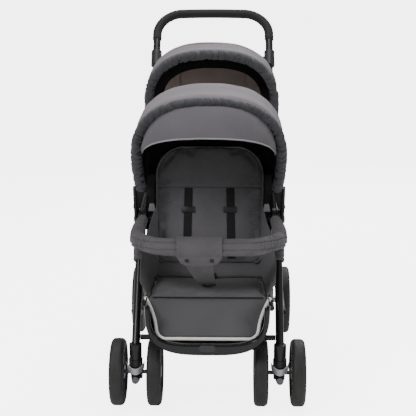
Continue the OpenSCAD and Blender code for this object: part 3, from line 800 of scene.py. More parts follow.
def rim_roll(name, hub, angle, body, seed):
    half = CANOPY_HALF - ROLL_INSET
    reach = CANOPY_REACH - ROLL_INSET
    points = [on_arch(hub, angle, k / 160, half, reach, RIM_START) for k in range(161)]

    def radius(t, turn):
        end = min(t, 1 - t) / 0.006
        tuck = 0.35 * (1 - min(end, 1)) ** 2
        return ROLL_RADIUS * (1.09 - tuck) - 0.0042 * pleats(t, turn, seed)

    square = (0, -math.sin(math.radians(angle)), math.cos(math.radians(angle)))
    piece = sleeve(name, along_points(points), radius, square, 520, 26)
    finish_piece(piece, ROLL_CLOTH, "trim_fabric", body)
    return piece


for place_name, hub, angles in CANOPIES:
    rim_roll(f"{place_name}_rim_roll", hub, angles[2], f"{place_name}_canopy_front", ROLL_SEEDS[place_name])

# %% [markdown]
# ## Front visor
#
# A stiffened flap hangs from the front roll and ends in a piped edge. It continues the canopy's arch,
# and its lower edge is where a slanted plane would cut it, so its depth is solved at each place.

# %% Visor flap and its piped edge
VISOR_HALF = CANOPY_HALF - 0.033
VISOR_REACH = CANOPY_REACH - ROLL_INSET
VISOR_FROM = 1.6
VISOR_DEPTH = 24
VISOR_PIPING_RADIUS = 0.0022
VISOR_SPAN = (0.150, 0.866)
CUT_POINT = (-0.290, 0.295)
CUT_TILT = 66.3
CUT_TURN = math.radians(CUT_TILT)
CUT_OFFSET = CUT_POINT[0] * math.cos(CUT_TURN) + CUT_POINT[1] * math.sin(CUT_TURN)


def visor_edge(t):
    """Angle about the hub at which the visor ends, at arch place t."""
    distance, _ = arch(t, VISOR_HALF, VISOR_REACH)
    cut = CUT_TILT + math.degrees(math.acos(min(CUT_OFFSET / distance, 1)))
    return min(cut, FRONT_ANGLES[2] + VISOR_DEPTH)


def visor_span(share):
    """Arch place for a share of the visor's width."""
    return VISOR_SPAN[0] + (VISOR_SPAN[1] - VISOR_SPAN[0]) * share


def visor_place(u, v):
    t = visor_span(u)
    low = FRONT_ANGLES[2]
    angle = low + (max(visor_edge(t), low + VISOR_FROM) - low) * v
    bow = 0.004 * math.sin(math.pi * v) + 0.0012 * ripple((u * 9, v, 2.0), 0.5)
    into_roll = (CANOPY_HALF - ROLL_INSET - VISOR_HALF) * max(1 - v / 0.14, 0)
    return on_arch(FRONT_HUB, angle, t, VISOR_HALF + bow + into_roll, VISOR_REACH + bow - 0.3 * into_roll)


visor = grid("visor_flap", 120, 16, visor_place)
apply_modifier(visor, "SOLIDIFY", thickness=0.0016, offset=0)
finish_piece(visor, VISOR_CLOTH, "canopy_fabric", "front_canopy_front", ["front_canopy_visor"])

edge_points = [visor_place(k / 90, 1) for k in range(91)]
visor_piping = sleeve(
    "visor_piping", along_points(edge_points), even(VISOR_PIPING_RADIUS), (0, -0.9, 0.4), 120, 10
)
finish_piece(visor_piping, EDGE_PIPING, "trim_fabric", "front_canopy_front")

# %% [markdown]
# ## Places on the backrest
#
# The backrest leans back about its hinge. A point on it is given by its x, how far it lies in front
# of the board, and its height along the board.

# %% Backrest coordinates
BACK_LEAN = 18.5
PAD_LENGTH = 0.376


def back_place(x, depth, height):
    """A point on the upright front backrest."""
    lean = math.radians(BACK_LEAN)
    up = Vector((math.sin(lean), math.cos(lean)))
    ahead = Vector((-math.cos(lean), math.sin(lean)))
    return at(x, BACK_HINGE + height * up + depth * ahead)


# %% [markdown]
# ## Padded pieces
#
# A pad is two cloth faces sewn round their edge over a filling. It starts as a cube that is
# subdivided in edit mode and shaped: wide at its middle, thin at its seam. Cloth simulation then
# blows it up a little from inside with its seam held, which gives the uneven fullness of a real pad.
# Sewn grooves come after that, because the voxel remesh would erase them.


# %% A pad's first shape
def pad_blank(name, half_width, length, thick, edge, place_of, cuts=24):
    """A subdivided cube shaped to a pad: half_width(height) gives its outline."""
    piece = cube(name, cuts=cuts)
    for point in piece.data.vertices:
        across, up, depth = point.co
        height = length * (up + 1) / 2
        fullness = ((1 - across ** 4) * (1 - up ** 4)) ** 0.5
        level = thick / 2 + depth * (edge + (thick - edge) * fullness) / 2
        point.co = place_of(across * half_width(height), level, height)
    close_and_turn_out(piece, 1e-6)
    return piece


# %% Blow a pad up with cloth simulation
VOXEL = 0.006
PUFF_FRAMES = 20


def puff(piece, held, cap, pressure=4.0):
    """Simulates the pad as pressurised cloth. Points for which held(place) is true don't move."""
    piece.data.remesh_voxel_size = VOXEL
    only(piece)
    bpy.ops.object.voxel_remesh()
    start = [point.co.copy() for point in piece.data.vertices]
    pins = piece.vertex_groups.new(name="seam")
    pins.add([index for index, place in enumerate(start) if held(place)], 1.0, "REPLACE")
    modifier = piece.modifiers.new("Cloth", "CLOTH")
    settings = modifier.settings
    settings.quality = 4
    settings.mass = 0.2
    settings.tension_stiffness = settings.compression_stiffness = 12
    settings.bending_stiffness = 0.4
    settings.use_pressure = True
    settings.uniform_pressure_force = pressure
    settings.shrink_min = -0.035
    settings.vertex_group_mass = "seam"
    settings.effector_weights.gravity = 0
    modifier.point_cache.frame_end = PUFF_FRAMES
    for frame_number in range(1, PUFF_FRAMES + 1):
        bpy.context.scene.frame_set(frame_number)
    bpy.ops.object.modifier_apply(modifier=modifier.name)
    bpy.context.scene.frame_set(1)
    furthest = 0
    for point, before in zip(piece.data.vertices, start):
        shift = point.co - before
        furthest = max(furthest, shift.length)
        if shift.length > cap:
            point.co = before + shift * cap / shift.length
    piece.vertex_groups.clear()
    print(piece.name, "puffed, furthest move", round(furthest * 1000, 1), "mm")
    apply_modifier(piece, "SUBSURF", levels=1, render_levels=1)


def press_groove(piece, distance_to, depth, width, inward):
    """Presses a sewn groove where distance_to(place) is near zero; inward is the way it goes in."""
    for point in piece.data.vertices:
        away = distance_to(point.co)
        if away < 4 * width:
            point.co += inward * depth * math.exp(-((away / width) ** 2))


# %% [markdown]
# ## Backrests
#
# The backrest pad has a rounded top, a grey piped edge and one sewn line across it, where the
# shoulder straps come out. It leans back with its board.

# %% Backrest pad with piping
BACK_HALF_LOW = 0.158
BACK_HALF_TOP = 0.167
BACK_THICK = 0.024
BACK_FACE = 0.003
BACK_SEAM = 0.249
BACK_CORNER = 0.100
PAD_BASE = 0.018
BACK_PIPING_RADIUS = 0.0026


def back_half(height):
    """Half width of the backrest pad at a height above its lower edge."""
    length = PAD_LENGTH - PAD_BASE
    width = BACK_HALF_LOW + (BACK_HALF_TOP - BACK_HALF_LOW) * height / length
    over = max(height - (length - BACK_CORNER), 0) / BACK_CORNER
    under = max(0.02 - height, 0) / 0.02
    width -= BACK_CORNER * (1 - (1 - min(over, 1) ** 2.2) ** (1 / 2.2))
    return width - 0.02 * (1 - math.sqrt(1 - under ** 2))


def back_pad_place(x, level, height):
    return back_place(x, BACK_FACE + level, PAD_BASE + height)


def back_local(place):
    """(x, depth in front of the board, height above the hinge) of a point on the front backrest."""
    lean = math.radians(BACK_LEAN)
    offset = place.yz - BACK_HINGE
    return (
        place.x,
        -offset[0] * math.cos(lean) + offset[1] * math.sin(lean),
        offset[0] * math.sin(lean) + offset[1] * math.cos(lean),
    )


def back_rim_held(place):
    x, depth, height = back_local(place)
    inner = back_half(max(height - PAD_BASE, 0)) - abs(x) < 0.006
    return inner or depth < BACK_FACE + 0.004 or height < PAD_BASE + 0.006


back_pad = pad_blank(
    "front_back_pad", back_half, PAD_LENGTH - PAD_BASE - 0.002, BACK_THICK, 0.010, back_pad_place
)
puff(back_pad, back_rim_held, 0.008, 3.0)
BACK_INWARD = (back_place(0, 0, 0) - back_place(0, 1, 0)).normalized()
press_groove(
    back_pad, lambda p: abs(back_local(p)[2] - BACK_SEAM) if back_local(p)[1] > 0.012 else 1,
    0.0035, 0.003, BACK_INWARD,
)


def outline_points(half_of, length, place_of, level, count=60):
    """Points up one side of a pad outline, over its top and down the other side."""
    heights = [length * (1 - math.cos(math.pi * k / count)) / 2 for k in range(count + 1)]
    right = [place_of(half_of(height), level, height) for height in heights]
    left = [place_of(-half_of(height), level, height) for height in reversed(heights)]
    return right + left


piping_points = outline_points(back_half, PAD_LENGTH - PAD_BASE - 0.002, back_pad_place, BACK_THICK - 0.007)
back_edge = sleeve(
    "front_back_piping", along_points(piping_points), even(BACK_PIPING_RADIUS), BACK_INWARD, 260, 10
)

for piece, suffix in ((back_pad, "back_pad"), (back_edge, "back_piping")):
    rear_piece = copy_to_rear(piece, f"rear_{suffix}")
    for part, place_name in ((piece, "front"), (rear_piece, "rear")):
        padded_one = suffix == "back_pad"
        finish_piece(
            part, SEAT_CLOTH if padded_one else GREY_PIPING, "seat_fabric" if padded_one else "trim_fabric",
            f"{place_name}_backrest", [f"{place_name}_backrest_pad"] if padded_one else [],
        )

# %% [markdown]
# ## Seat cushions and legrests
#
# The cushion is a crowned pad with its front edge sewn to the legrest. The legrest hangs from it,
# narrows towards the feet and carries a broad pale reflective piping round its sides and lower edge.

# %% Seat cushion
CUSHION_LOW, CUSHION_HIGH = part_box("front_seat_cushion")
CUSHION_LENGTH = CUSHION_HIGH.y - CUSHION_LOW.y
CUSHION_THICK = CUSHION_HIGH.z - CUSHION_LOW.z
CUSHION_HALF = CUSHION_HIGH.x


def corner_cut(height, length, radius):
    """How much a rounded corner takes off a half width near either end."""
    over = max(radius - min(height, length - height), 0) / radius
    return radius * (1 - math.sqrt(max(1 - min(over, 1) ** 2, 0)))


def cushion_half(height):
    return CUSHION_HALF - 0.002 - corner_cut(height, CUSHION_LENGTH, 0.018) - 0.006 * height / CUSHION_LENGTH


def cushion_place(x, level, height):
    return Vector((x, CUSHION_LOW.y + height, CUSHION_LOW.z + level))


cushion = pad_blank(
    "front_cushion", cushion_half, CUSHION_LENGTH, CUSHION_THICK - 0.003, 0.014, cushion_place
)
puff(cushion, lambda p: p.z < CUSHION_LOW.z + 0.010, 0.006, 3.0)
CUSHION_CROWN = 0.006
for point in cushion.data.vertices:
    if point.co.z > CUSHION_LOW.z + 0.012:
        share_x = min(abs(point.co.x) / CUSHION_HALF, 1)
        point.co.z -= 0.5 * CUSHION_CROWN * share_x ** 3 + 0.0012 * ripple(point.co, 0.07, 4.0)

press_groove(
    cushion, lambda p: abs(p.y - CUSHION_LOW.y - 0.007) if p.z > CUSHION_LOW.z + 0.012 else 1,
    0.004, 0.003, Vector((0, 0, -1)),
)

# %% Legrest pad and its pale piping
REST_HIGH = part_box("front_legrest_pad")[1]
REST_TILT = 51.4
REST_LENGTH = 0.118
REST_THICK = 0.020
REST_HALF_TOP = 0.172
REST_HALF_LOW = 0.136
PIPING_RADIUS = 0.0050


def rest_half(height):
    """Half width of the legrest at a distance down from its top edge: concave sides, round corners."""
    share = min(max(height / REST_LENGTH, 0), 1)
    width = REST_HALF_LOW + (REST_HALF_TOP - REST_HALF_LOW) * (1 - share) ** 2
    over = max(height - (REST_LENGTH - 0.026), 0) / 0.026
    return width - 0.026 * (1 - math.sqrt(max(1 - min(over, 1) ** 2, 0)))


def rest_place(x, level, height):
    """level is how far above the pad's underside a point lies."""
    tilt = math.radians(REST_TILT)
    down = Vector((-math.cos(tilt), -math.sin(tilt)))
    up = Vector((-math.sin(tilt), math.cos(tilt)))
    corner = Vector((REST_HIGH.y, REST_HIGH.z))
    return at(x, corner + down * height + up * (level - REST_THICK))


legrest = pad_blank("front_legrest", rest_half, REST_LENGTH, REST_THICK - 0.001, 0.009, rest_place, 20)
puff(legrest, lambda p: False, 0.003, 0.5)
PIPING_OUT = 0.0060
rest_heights = [REST_LENGTH * math.sin(math.pi / 2 * k / 40) for k in range(41)]
rest_outline = [
    rest_place(side_sign * (rest_half(height) + PIPING_OUT), 0.0165, height * 1.045)
    for side_sign, heights in ((1, rest_heights), (-1, list(reversed(rest_heights))))
    for height in heights
]
REST_ACROSS = (0, -math.sin(math.radians(REST_TILT)), math.cos(math.radians(REST_TILT)))
legrest_edge = sleeve(
    "front_legrest_piping", along_points(rest_outline), even(PIPING_RADIUS), REST_ACROSS, 220, 14
)

# %% Sewn seam between cushion and legrest, and the sling that carries the cushion
SEAM_HALF = 0.158
SEAM_RADIUS = 0.0017
seam_points = [rest_place(SEAM_HALF * (k / 10 - 1), REST_THICK - 0.0005, 0.001) for k in range(21)]
seat_seam = sleeve("front_seat_seam", along_points(seam_points), even(SEAM_RADIUS), REST_ACROSS, 60, 10)
SLING_HALF = CUSHION_HALF + 0.003
SLING_BACK = 0.045


def sling_place(u, v):
    """Flat under the cushion, then rising behind it to the foot of the backrest."""
    run = CUSHION_LENGTH + SLING_BACK
    along = run * v
    rise = 0.035 * max(along - CUSHION_LENGTH + 0.020, 0) ** 2 / (SLING_BACK + 0.020) ** 2
    sag = 0.002 * math.sin(math.pi * u) * math.sin(math.pi * v)
    return Vector(((2 * u - 1) * SLING_HALF, CUSHION_LOW.y + along, CUSHION_LOW.z + 0.001 + rise - sag))


sling = grid("front_seat_sling", 40, 40, sling_place)
apply_modifier(sling, "SOLIDIFY", thickness=0.0016, offset=0)
rear_sling = copy_to_rear(sling, "rear_seat_sling")
for part, place_name in ((sling, "front"), (rear_sling, "rear")):
    finish_piece(part, SHADE_CLOTH, "seat_fabric", "side_frame")

# %% Finish the cushions and legrests, front and rear
SEAT_PIECES = (
    (cushion, "cushion", SEAT_CLOTH, "seat_fabric", "seat_cushion", "side_frame"),
    (legrest, "legrest", LEGREST_CLOTH, "seat_fabric", "legrest_pad", "front_legs"),
    (legrest_edge, "legrest_piping", PALE_PIPING, "trim_fabric", None, "front_legs"),
    (seat_seam, "seat_seam", SHADE_CLOTH, "trim_fabric", None, "front_legs"),
)
for piece, suffix, finish, slot_name, node_suffix, front_body in SEAT_PIECES:
    rear_piece = copy_to_rear(piece, f"rear_{suffix}")
    for part, place_name, body in ((piece, "front", front_body), (rear_piece, "rear", "side_frame")):
        nodes = [f"{place_name}_{node_suffix}"] if node_suffix else []
        finish_piece(part, finish, slot_name, body, nodes)

# %% [markdown]
# ## Side wings
#
# A flat cloth gusset closes each side of the seat from the cushion up to the hub. It bows outwards
# slightly in front and closes on the backrest's edge behind.

# %% Wings
WING_LOW, WING_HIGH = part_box("front_seat_wings")
WING_FLARE = 0.024
WING_BACK_X = 0.158
WING_BACK_RISE = 0.075


def wing_place(sign):
    """The wing flares to the leg in front and closes on the backrest's edge behind."""
    def place_of(u, v):
        y = WING_LOW.y + (WING_HIGH.y + 0.012 - WING_LOW.y) * u
        rise = 0.30 + 0.55 * min(u / 0.5, 1) ** 0.7 + 0.15 * max(u - 0.5, 0) / 0.5
        z = WING_LOW.z + (WING_HIGH.z + WING_BACK_RISE * u ** 2 - WING_LOW.z) * rise * v
        outer = CUSHION_HALF + 0.0005 + WING_FLARE * v ** 0.8
        x = outer + (WING_BACK_X - outer) * max(u - 0.25, 0) ** 1.5 / 0.75 ** 1.5
        fold = 0.0022 * ripple((u * 4, v * 3, sign), 0.6)
        return Vector((sign * (x + fold), y, z))
    return place_of


for place_name, shift in (("front", Vector()), ("rear", SEAT_STEP)):
    for side_name, sign in SIDES:
        wing = grid(f"{place_name}_wing_{side_name}", 40, 30, wing_place(sign))
        apply_modifier(wing, "SOLIDIFY", thickness=0.0018, offset=0)
        wing.data.transform(Matrix.Translation(shift))
        stands_for = [f"{place_name}_seat_wings"] if sign == 1 else []
        finish_piece(wing, SEAT_CLOTH, "seat_fabric", "side_frame", stands_for)

# %% [markdown]
# ## Side screens
#
# Beside each backrest a narrow cloth screen hangs from the side rail, from the canopy's foot down to
# the wing, so that no daylight shows past the hub. It is a flat grid with a few soft folds.

# %% Screens beside the hubs
SCREEN_IN, SCREEN_OUT = 0.169, TUBE_X - 0.0155
SCREEN_LOW, SCREEN_HIGH = -0.125, 0.125
SCREEN_BACK = 0.022
SCREEN_FLARE = 0.018
BACK_SLOPE = math.tan(math.radians(BACK_LEAN))


def screen_place(sign, hub):
    def place_of(u, v):
        height = SCREEN_LOW + (SCREEN_HIGH - SCREEN_LOW) * v
        flare = SCREEN_FLARE * min(max(-0.05 - height, 0) / 0.03, 1)
        x = SCREEN_IN + (SCREEN_OUT + flare - SCREEN_IN) * u
        fold = 0.0015 * ripple((u, v * 5, hub[0]), 0.5)
        return at(sign * x, hub + Vector((SCREEN_BACK + BACK_SLOPE * height + fold, height)))
    return place_of


for place_name, hub in (("front", FRONT_HUB), ("rear", REAR_HUB)):
    for side_name, sign in SIDES:
        screen = grid(f"{place_name}_side_screen_{side_name}", 8, 40, screen_place(sign, hub))
        apply_modifier(screen, "SOLIDIFY", thickness=0.0014, offset=0)
        finish_piece(screen, SHADE_CLOTH, "seat_fabric", "side_frame")

# %% [markdown]
# ## Harness
#
# Webbing is too thin for simulation, so each strap is a narrow grid laid over the pad: a ray finds
# the pad's surface and the strap lies just above it. Sliders and the buckle are moulded plastic.


# %% Straps laid on the pads
STRAP_HALF = 0.015
STRAP_X = 0.064
STRAP_THICK = 0.0016
SLIDER_HEIGHT = 0.178


def strap(name, line, half_width, on_piece, towards):
    """A strap along line(v) = (x, depth, height) places, dropped on a piece along a direction."""
    def place_of(u, v):
        centre, across = line(v)
        point = centre + across * half_width * (2 * u - 1)
        hit, place, _, _ = on_piece.ray_cast(point - towards * 0.06, towards)
        return (place if hit else point) - towards * (0.0012 + 0.0003 * math.sin(math.pi * u))

    piece = grid(name, 8, 90, place_of)
    apply_modifier(piece, "SMOOTH", factor=0.5, iterations=12)
    apply_modifier(piece, "SOLIDIFY", thickness=STRAP_THICK, offset=0)
    close_and_turn_out(piece, 1e-6)
    return piece


def shoulder_line(sign):
    def line(v):
        height = BACK_SEAM - 0.002 - (BACK_SEAM - 0.030) * v
        return back_place(sign * (STRAP_X + 0.004 * v), 0.03, height), Vector((1, 0, 0))
    return line


def slider(name, centre, across, up, out, size=(0.021, 0.011, 0.0035)):
    """A three-bar slider, made as a cube whose two broad faces are inset and sunk, with rounded edges."""
    piece = cube(name, size)
    inset_faces(piece, lambda normal: abs(normal.z) > 0.9, (0.0035, -0.0016))
    apply_modifier(piece, "BEVEL", width=0.001, segments=2, limit_method="ANGLE")
    turn = Matrix((across, up, out)).transposed().to_4x4()
    piece.data.transform(Matrix.Translation(centre) @ turn)
    return piece


BACK_UP = (back_place(0, 0, 1) - back_place(0, 0, 0)).normalized()
harness = []
for side_name, sign in SIDES:
    belt = strap(f"front_shoulder_strap_{side_name}", shoulder_line(sign), STRAP_HALF, back_pad, BACK_INWARD)
    harness.append((belt, f"shoulder_strap_{side_name}", WEBBING, "webbing", "backrest"))
    hit, on_pad, _, _ = back_pad.ray_cast(back_place(sign * STRAP_X, 0.09, SLIDER_HEIGHT), BACK_INWARD)
    buckle = slider(
        f"front_slider_{side_name}", on_pad - BACK_INWARD * 0.004, Vector((1, 0, 0)), BACK_UP, -BACK_INWARD
    )
    harness.append((buckle, f"slider_{side_name}", BLACK_PLASTIC, "black_plastic", "backrest"))

# %% Lap belts, crotch strap and buckle
DOWN = Vector((0, 0, -1))
BELT_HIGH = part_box("front_lap_belt")[1]
BUCKLE_Y = BELT_HIGH.y - 0.024
SEAT_TOP = CUSHION_HIGH.z


def lap_line(sign):
    def line(v):
        centre = Vector((sign * (0.166 - 0.142 * v), BUCKLE_Y - 0.004 + 0.02 * (1 - v), SEAT_TOP))
        return centre, Vector((0, 1, 0))
    return line


def crotch_line(v):
    return Vector((0, BUCKLE_Y - 0.02 - 0.085 * v, SEAT_TOP)), Vector((1, 0, 0))


for side_name, sign in SIDES:
    belt = strap(f"front_lap_belt_{side_name}", lap_line(sign), 0.0125, cushion, DOWN)
    harness.append((belt, f"lap_belt_{side_name}", WEBBING, "webbing", "side_frame"))
crotch_belt = strap("front_crotch_belt", crotch_line, 0.0125, cushion, DOWN)
harness.append((crotch_belt, "crotch_belt", WEBBING, "webbing", "side_frame"))
buckle_body = slider(
    "front_buckle", Vector((0, BUCKLE_Y, SEAT_TOP + 0.006)), Vector((1, 0, 0)), Vector((0, 1, 0)),
    Vector((0, 0, 1)), (0.024, 0.021, 0.006),
)
harness.append((buckle_body, "buckle", BLACK_PLASTIC, "black_plastic", "side_frame"))

for piece, suffix, finish, slot_name, place in harness:
    rear_piece = copy_to_rear(piece, f"rear_{suffix}")
    for part, place_name in ((piece, "front"), (rear_piece, "rear")):
        stands_for = {
            "shoulder_strap_left": [f"{place_name}_shoulder_straps"], "buckle": [f"{place_name}_lap_belt"],
        }.get(suffix, [])
        body = place if place == "side_frame" else f"{place_name}_{place}"
        finish_piece(part, finish, slot_name, body, stands_for)

# %% [markdown]
# ## Back curtains
#
# Behind each seat a curtain closes the canopy: it is sewn to the rear hoop and to the edge of the
# backrest, and is shaped between the two as they stand at rest.
# The rear one is the brown cloth with two long seams that shows above the front canopy; its colour
# is painted paler, as light for its shaded inside. It shows under a near-black band that hangs from
# the same hoop: painted shade for the dark inside of the canopy under the rear roll. The front
# curtain is near-black cloth, painted shade for the dark inside of the front canopy. Each curtain has
# one finish on both its sides.

# %% Curtains from the rear hoops to the backrests
CURTAIN_INSET = 0.0105
SHADE_BAND_INSET = 0.016
CURTAIN_SEAMS = (-0.118, 0.118)
CURTAIN_SLACK = 1.05
CURTAIN_HANG = 1.3
OUTLINE_FROM = 0.04
back_outline = along_points(outline_points(back_half, PAD_LENGTH - PAD_BASE - 0.004, back_pad_place, 0.002))


def curtain(place_name, hub, angle, shift, finish):
    """A curtain between a rear hoop and the outline of a backrest."""
    half = CANOPY_HALF - CURTAIN_INSET
    reach = CANOPY_REACH - CURTAIN_INSET

    def place_of(u, v):
        top = on_arch(hub, angle, 1 - u, half, reach)
        low = back_outline(OUTLINE_FROM + (1 - 2 * OUTLINE_FROM) * u) + shift
        point = top.lerp(low, v)
        fold = 0.004 * ripple((u * 9, v * 0.5, angle), 0.6) * math.sin(math.pi * v)
        seam = sum(0.005 * math.exp(-(((point.x - x) / 0.003) ** 2)) for x in CURTAIN_SEAMS)
        return point + Vector((0, fold + seam * math.sin(math.pi * v) ** 0.5, 0))

    piece = grid(f"{place_name}_back_curtain", 150, 30, place_of)
    surface = area_of(piece)
    middle = along_points([place_of(k / 60, 0.5) for k in range(61)])
    size = (middle.length * CURTAIN_SLACK, surface / middle.length * CURTAIN_HANG)
    apply_modifier(piece, "SOLIDIFY", thickness=0.0014, offset=0)
    finish_piece(piece, finish, "trim_fabric")
    on_arch(hub, angle, 0.5, half, reach)
    back_outline(0.5) + shift
    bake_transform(piece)
    print(piece.name, "flat", [round(value, 3) for value in size], "area", round(surface, 4))


def painted_shade_band(name, hub, angle, drop):
    """A near-black band that hangs from the rear hoop in front of the curtain: painted shade for the dark
    inside of the canopy under the rear roll.
    """
    half = CANOPY_HALF - SHADE_BAND_INSET
    reach = CANOPY_REACH - SHADE_BAND_INSET

    def place_of(u, v):
        top = on_arch(hub, angle, 0.1 + 0.8 * u, half, reach)
        low = on_arch(hub, angle, 0.1 + 0.8 * u, half - drop * 0.6, reach - drop)
        return top.lerp(low, v) + Vector((0, -0.008 - 0.004 * v, 0))

    piece = grid(name, 110, 6, place_of)
    apply_modifier(piece, "SOLIDIFY", thickness=0.0014, offset=0)
    finish_piece(piece, SHADE_CLOTH, "trim_fabric", "side_frame")


# The front curtain is near-black cloth: painted shade for the dark inside of the front canopy.
curtain("front", FRONT_HUB, FRONT_ANGLES[0], Vector(), SHADE_CLOTH)
curtain("rear", REAR_HUB, REAR_ANGLES[0], SEAT_STEP, LINING_CLOTH)
# The band is painted shade: near-black cloth for the dark inside of the rear canopy under its roll.
painted_shade_band("rear_painted_shade_band", REAR_HUB, REAR_ANGLES[0], 0.060)

# %% [markdown]
# ## Seat bend
#
# The cloth runs on from the backrest pad to the cushion behind the child's hips. It crosses the
# recline hinge as a short curved sheet.

# %% Cloth over the recline hinge
BEND_HALF = 0.167
BEND_UP = 0.030
BEND_AHEAD = 0.020


def bend_place(u, v):
    high = back_place(0, BACK_FACE + BEND_AHEAD, PAD_BASE + BEND_UP).yz
    low = Vector((CUSHION_HIGH.y - 0.030, CUSHION_HIGH.z - 0.004))
    knee = Vector((high[0] + 0.006, low[1] + 0.002))
    point = low * (1 - v) ** 2 + knee * 2 * v * (1 - v) + high * v ** 2
    crease = 0.002 * ripple((u * 8, v, 1.0), 0.5) * math.sin(math.pi * v)
    return at((2 * u - 1) * BEND_HALF, point + Vector((crease, crease)))


bend = grid("front_seat_bend", 50, 16, bend_place)
apply_modifier(bend, "SOLIDIFY", thickness=0.002, offset=0)
rear_bend = copy_to_rear(bend, "rear_seat_bend")
for part, place_name, shift in ((bend, "front", Vector()), (rear_bend, "rear", SEAT_STEP)):
    finish_piece(part, SEAT_CLOTH, "seat_fabric")
    bend_place(0.5, 0) + shift
    bend_place(0.5, 1) + shift
    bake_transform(part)

# %% [markdown]
# ## Bumper bar cover
#
# A padded cloth sleeve is buttoned round the bumper bar. It follows the bar's own curve, which
# leaves a socket on the front leg, bends forward and closes in a shallow bow. Two lengthwise seams
# pull it in, and the cloth bunches where the bar bends.

# %% The bar's path
LEG_FOOT = side_point("caster_right_swivel") + Vector((0, 0.015)) - FRONT_HUB
LEG_ANGLE = math.degrees(math.atan2(*LEG_FOOT.yx))
BAR_DISTANCE = 0.095
COVER_RADIUS = 0.024
PULL = Vector(JOINTS["bumper_pull"]["axis"]).normalized()
BAR_CENTRE = (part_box("bumper_cover")[0].y + COVER_RADIUS, 0.488)


def bar_points(first, last=1.0):
    """Points of the bumper bar from a share of its side bend to the middle, then mirrored."""
    root = at(TUBE_X, FRONT_HUB + BAR_DISTANCE * side(LEG_ANGLE))
    start = root + 0.050 * PULL
    corner = Vector((TUBE_X - 0.006, BAR_CENTRE[0] + 0.115, 0.478))
    front = Vector((0.120, BAR_CENTRE[0] + 0.006, 0.487))
    pulls = start, start + 0.045 * PULL, corner + Vector((-0.002, -0.075, 0.006)), front
    half = []
    for k in range(31):
        t = first + (last - first) * k / 30
        weights = (1 - t) ** 3, 3 * (1 - t) ** 2 * t, 3 * (1 - t) * t ** 2, t ** 3
        half.append(sum((weight * pull for weight, pull in zip(weights, pulls)), Vector()))
    middle = Vector((0, BAR_CENTRE[0], BAR_CENTRE[1]))
    for k in range(1, 10):
        ease = Vector((0, -0.003 * math.sin(math.pi * k / 10), 0))
        half.append(front.lerp(middle, k / 10) + ease)
    return half + [middle] + [Vector((-p.x, p.y, p.z)) for p in reversed(half)]


# %% The padded sleeve
BAR_UP = (0, 0.35, 0.94)
COVER_SEAMS = [math.radians(angle) for angle in (25, -35, 155, 205)]


def cover_radius(t, turn):
    """Seams pull the sleeve in, ends are drawn close, and bends bunch the cloth."""
    bend_share = math.exp(-(((min(t, 1 - t) - 0.17) / 0.10) ** 2))
    end = min(t, 1 - t) / 0.02
    drawn = 0.30 * (1 - min(end, 1)) ** 2
    bunch = 0.0065 * bend_share * pleats(t, turn, 12.4, 40)
    seams = 0
    for seam in COVER_SEAMS:
        away = (turn - seam + math.pi) % (2 * math.pi) - math.pi
        seams += 0.0034 * math.exp(-((away / 0.09) ** 2))
    soft = 0.0012 * noise.noise(Vector((t * 9, math.cos(turn), math.sin(turn))))
    return COVER_RADIUS * (1.03 - drawn) - bunch - seams + soft


cover = sleeve("bumper_sleeve", along_points(bar_points(0.10)), cover_radius, BAR_UP, 420, 96)
finish_piece(cover, GUARD_CLOTH, "seat_fabric", "bumper", ["bumper_cover"])


# %% Side gussets up to the hub and cuffs round the legs
GUSSET_BOW = Vector((0.006, -0.008, 0))


def gusset_radius(t, turn):
    return 0.0255 - 0.010 * t - 0.004 * pleats(t, turn, 4.2, 14) - 0.006 * max(0.06 - min(t, 1 - t), 0) / 0.06


def cuff_radius(t, turn):
    hem = 0.0012 * math.exp(-(((t - 0.93) / 0.03) ** 2))
    return 0.0205 - 0.0025 * t - 0.0022 * pleats(t, turn, 9.6, 9) + hem


for side_name, sign in SIDES:
    bar_side = bar_points(0.05)[6]
    hub_side = at(TUBE_X - 0.010, FRONT_HUB + Vector((-0.036, 0.010)))
    arc = [bar_side.lerp(hub_side, k / 12) + GUSSET_BOW * math.sin(math.pi * k / 12) for k in range(13)]
    arc = [Vector((sign * p.x, p.y, p.z)) for p in arc]
    gusset = sleeve(f"bumper_gusset_{side_name}", along_points(arc), gusset_radius, (1, 0, 0), 70, 32)
    finish_piece(gusset, GUARD_CLOTH, "seat_fabric", "bumper")
    leg_points = [at(sign * TUBE_X, FRONT_HUB + (0.072 + 0.008 * k) * side(LEG_ANGLE)) for k in range(9)]
    cuff = sleeve(f"leg_cuff_{side_name}", along_points(leg_points), cuff_radius, (1, 0, 0), 50, 32)
    finish_piece(cuff, GUARD_CLOTH, "seat_fabric", "front_legs")

# %% [markdown]
# ## Crotch wrap
#
# A flat flap is folded round the middle of the bumper and closed by two snaps. Below them it tapers
# to a strap that runs back to the seat. It is one sheet with stitched hems along both sides.

# %% Wrap, snaps and strap
WRAP_HALF = 0.063
WRAP_GAP = 0.0035
WRAP_X = -0.022
TONGUE = 0.031


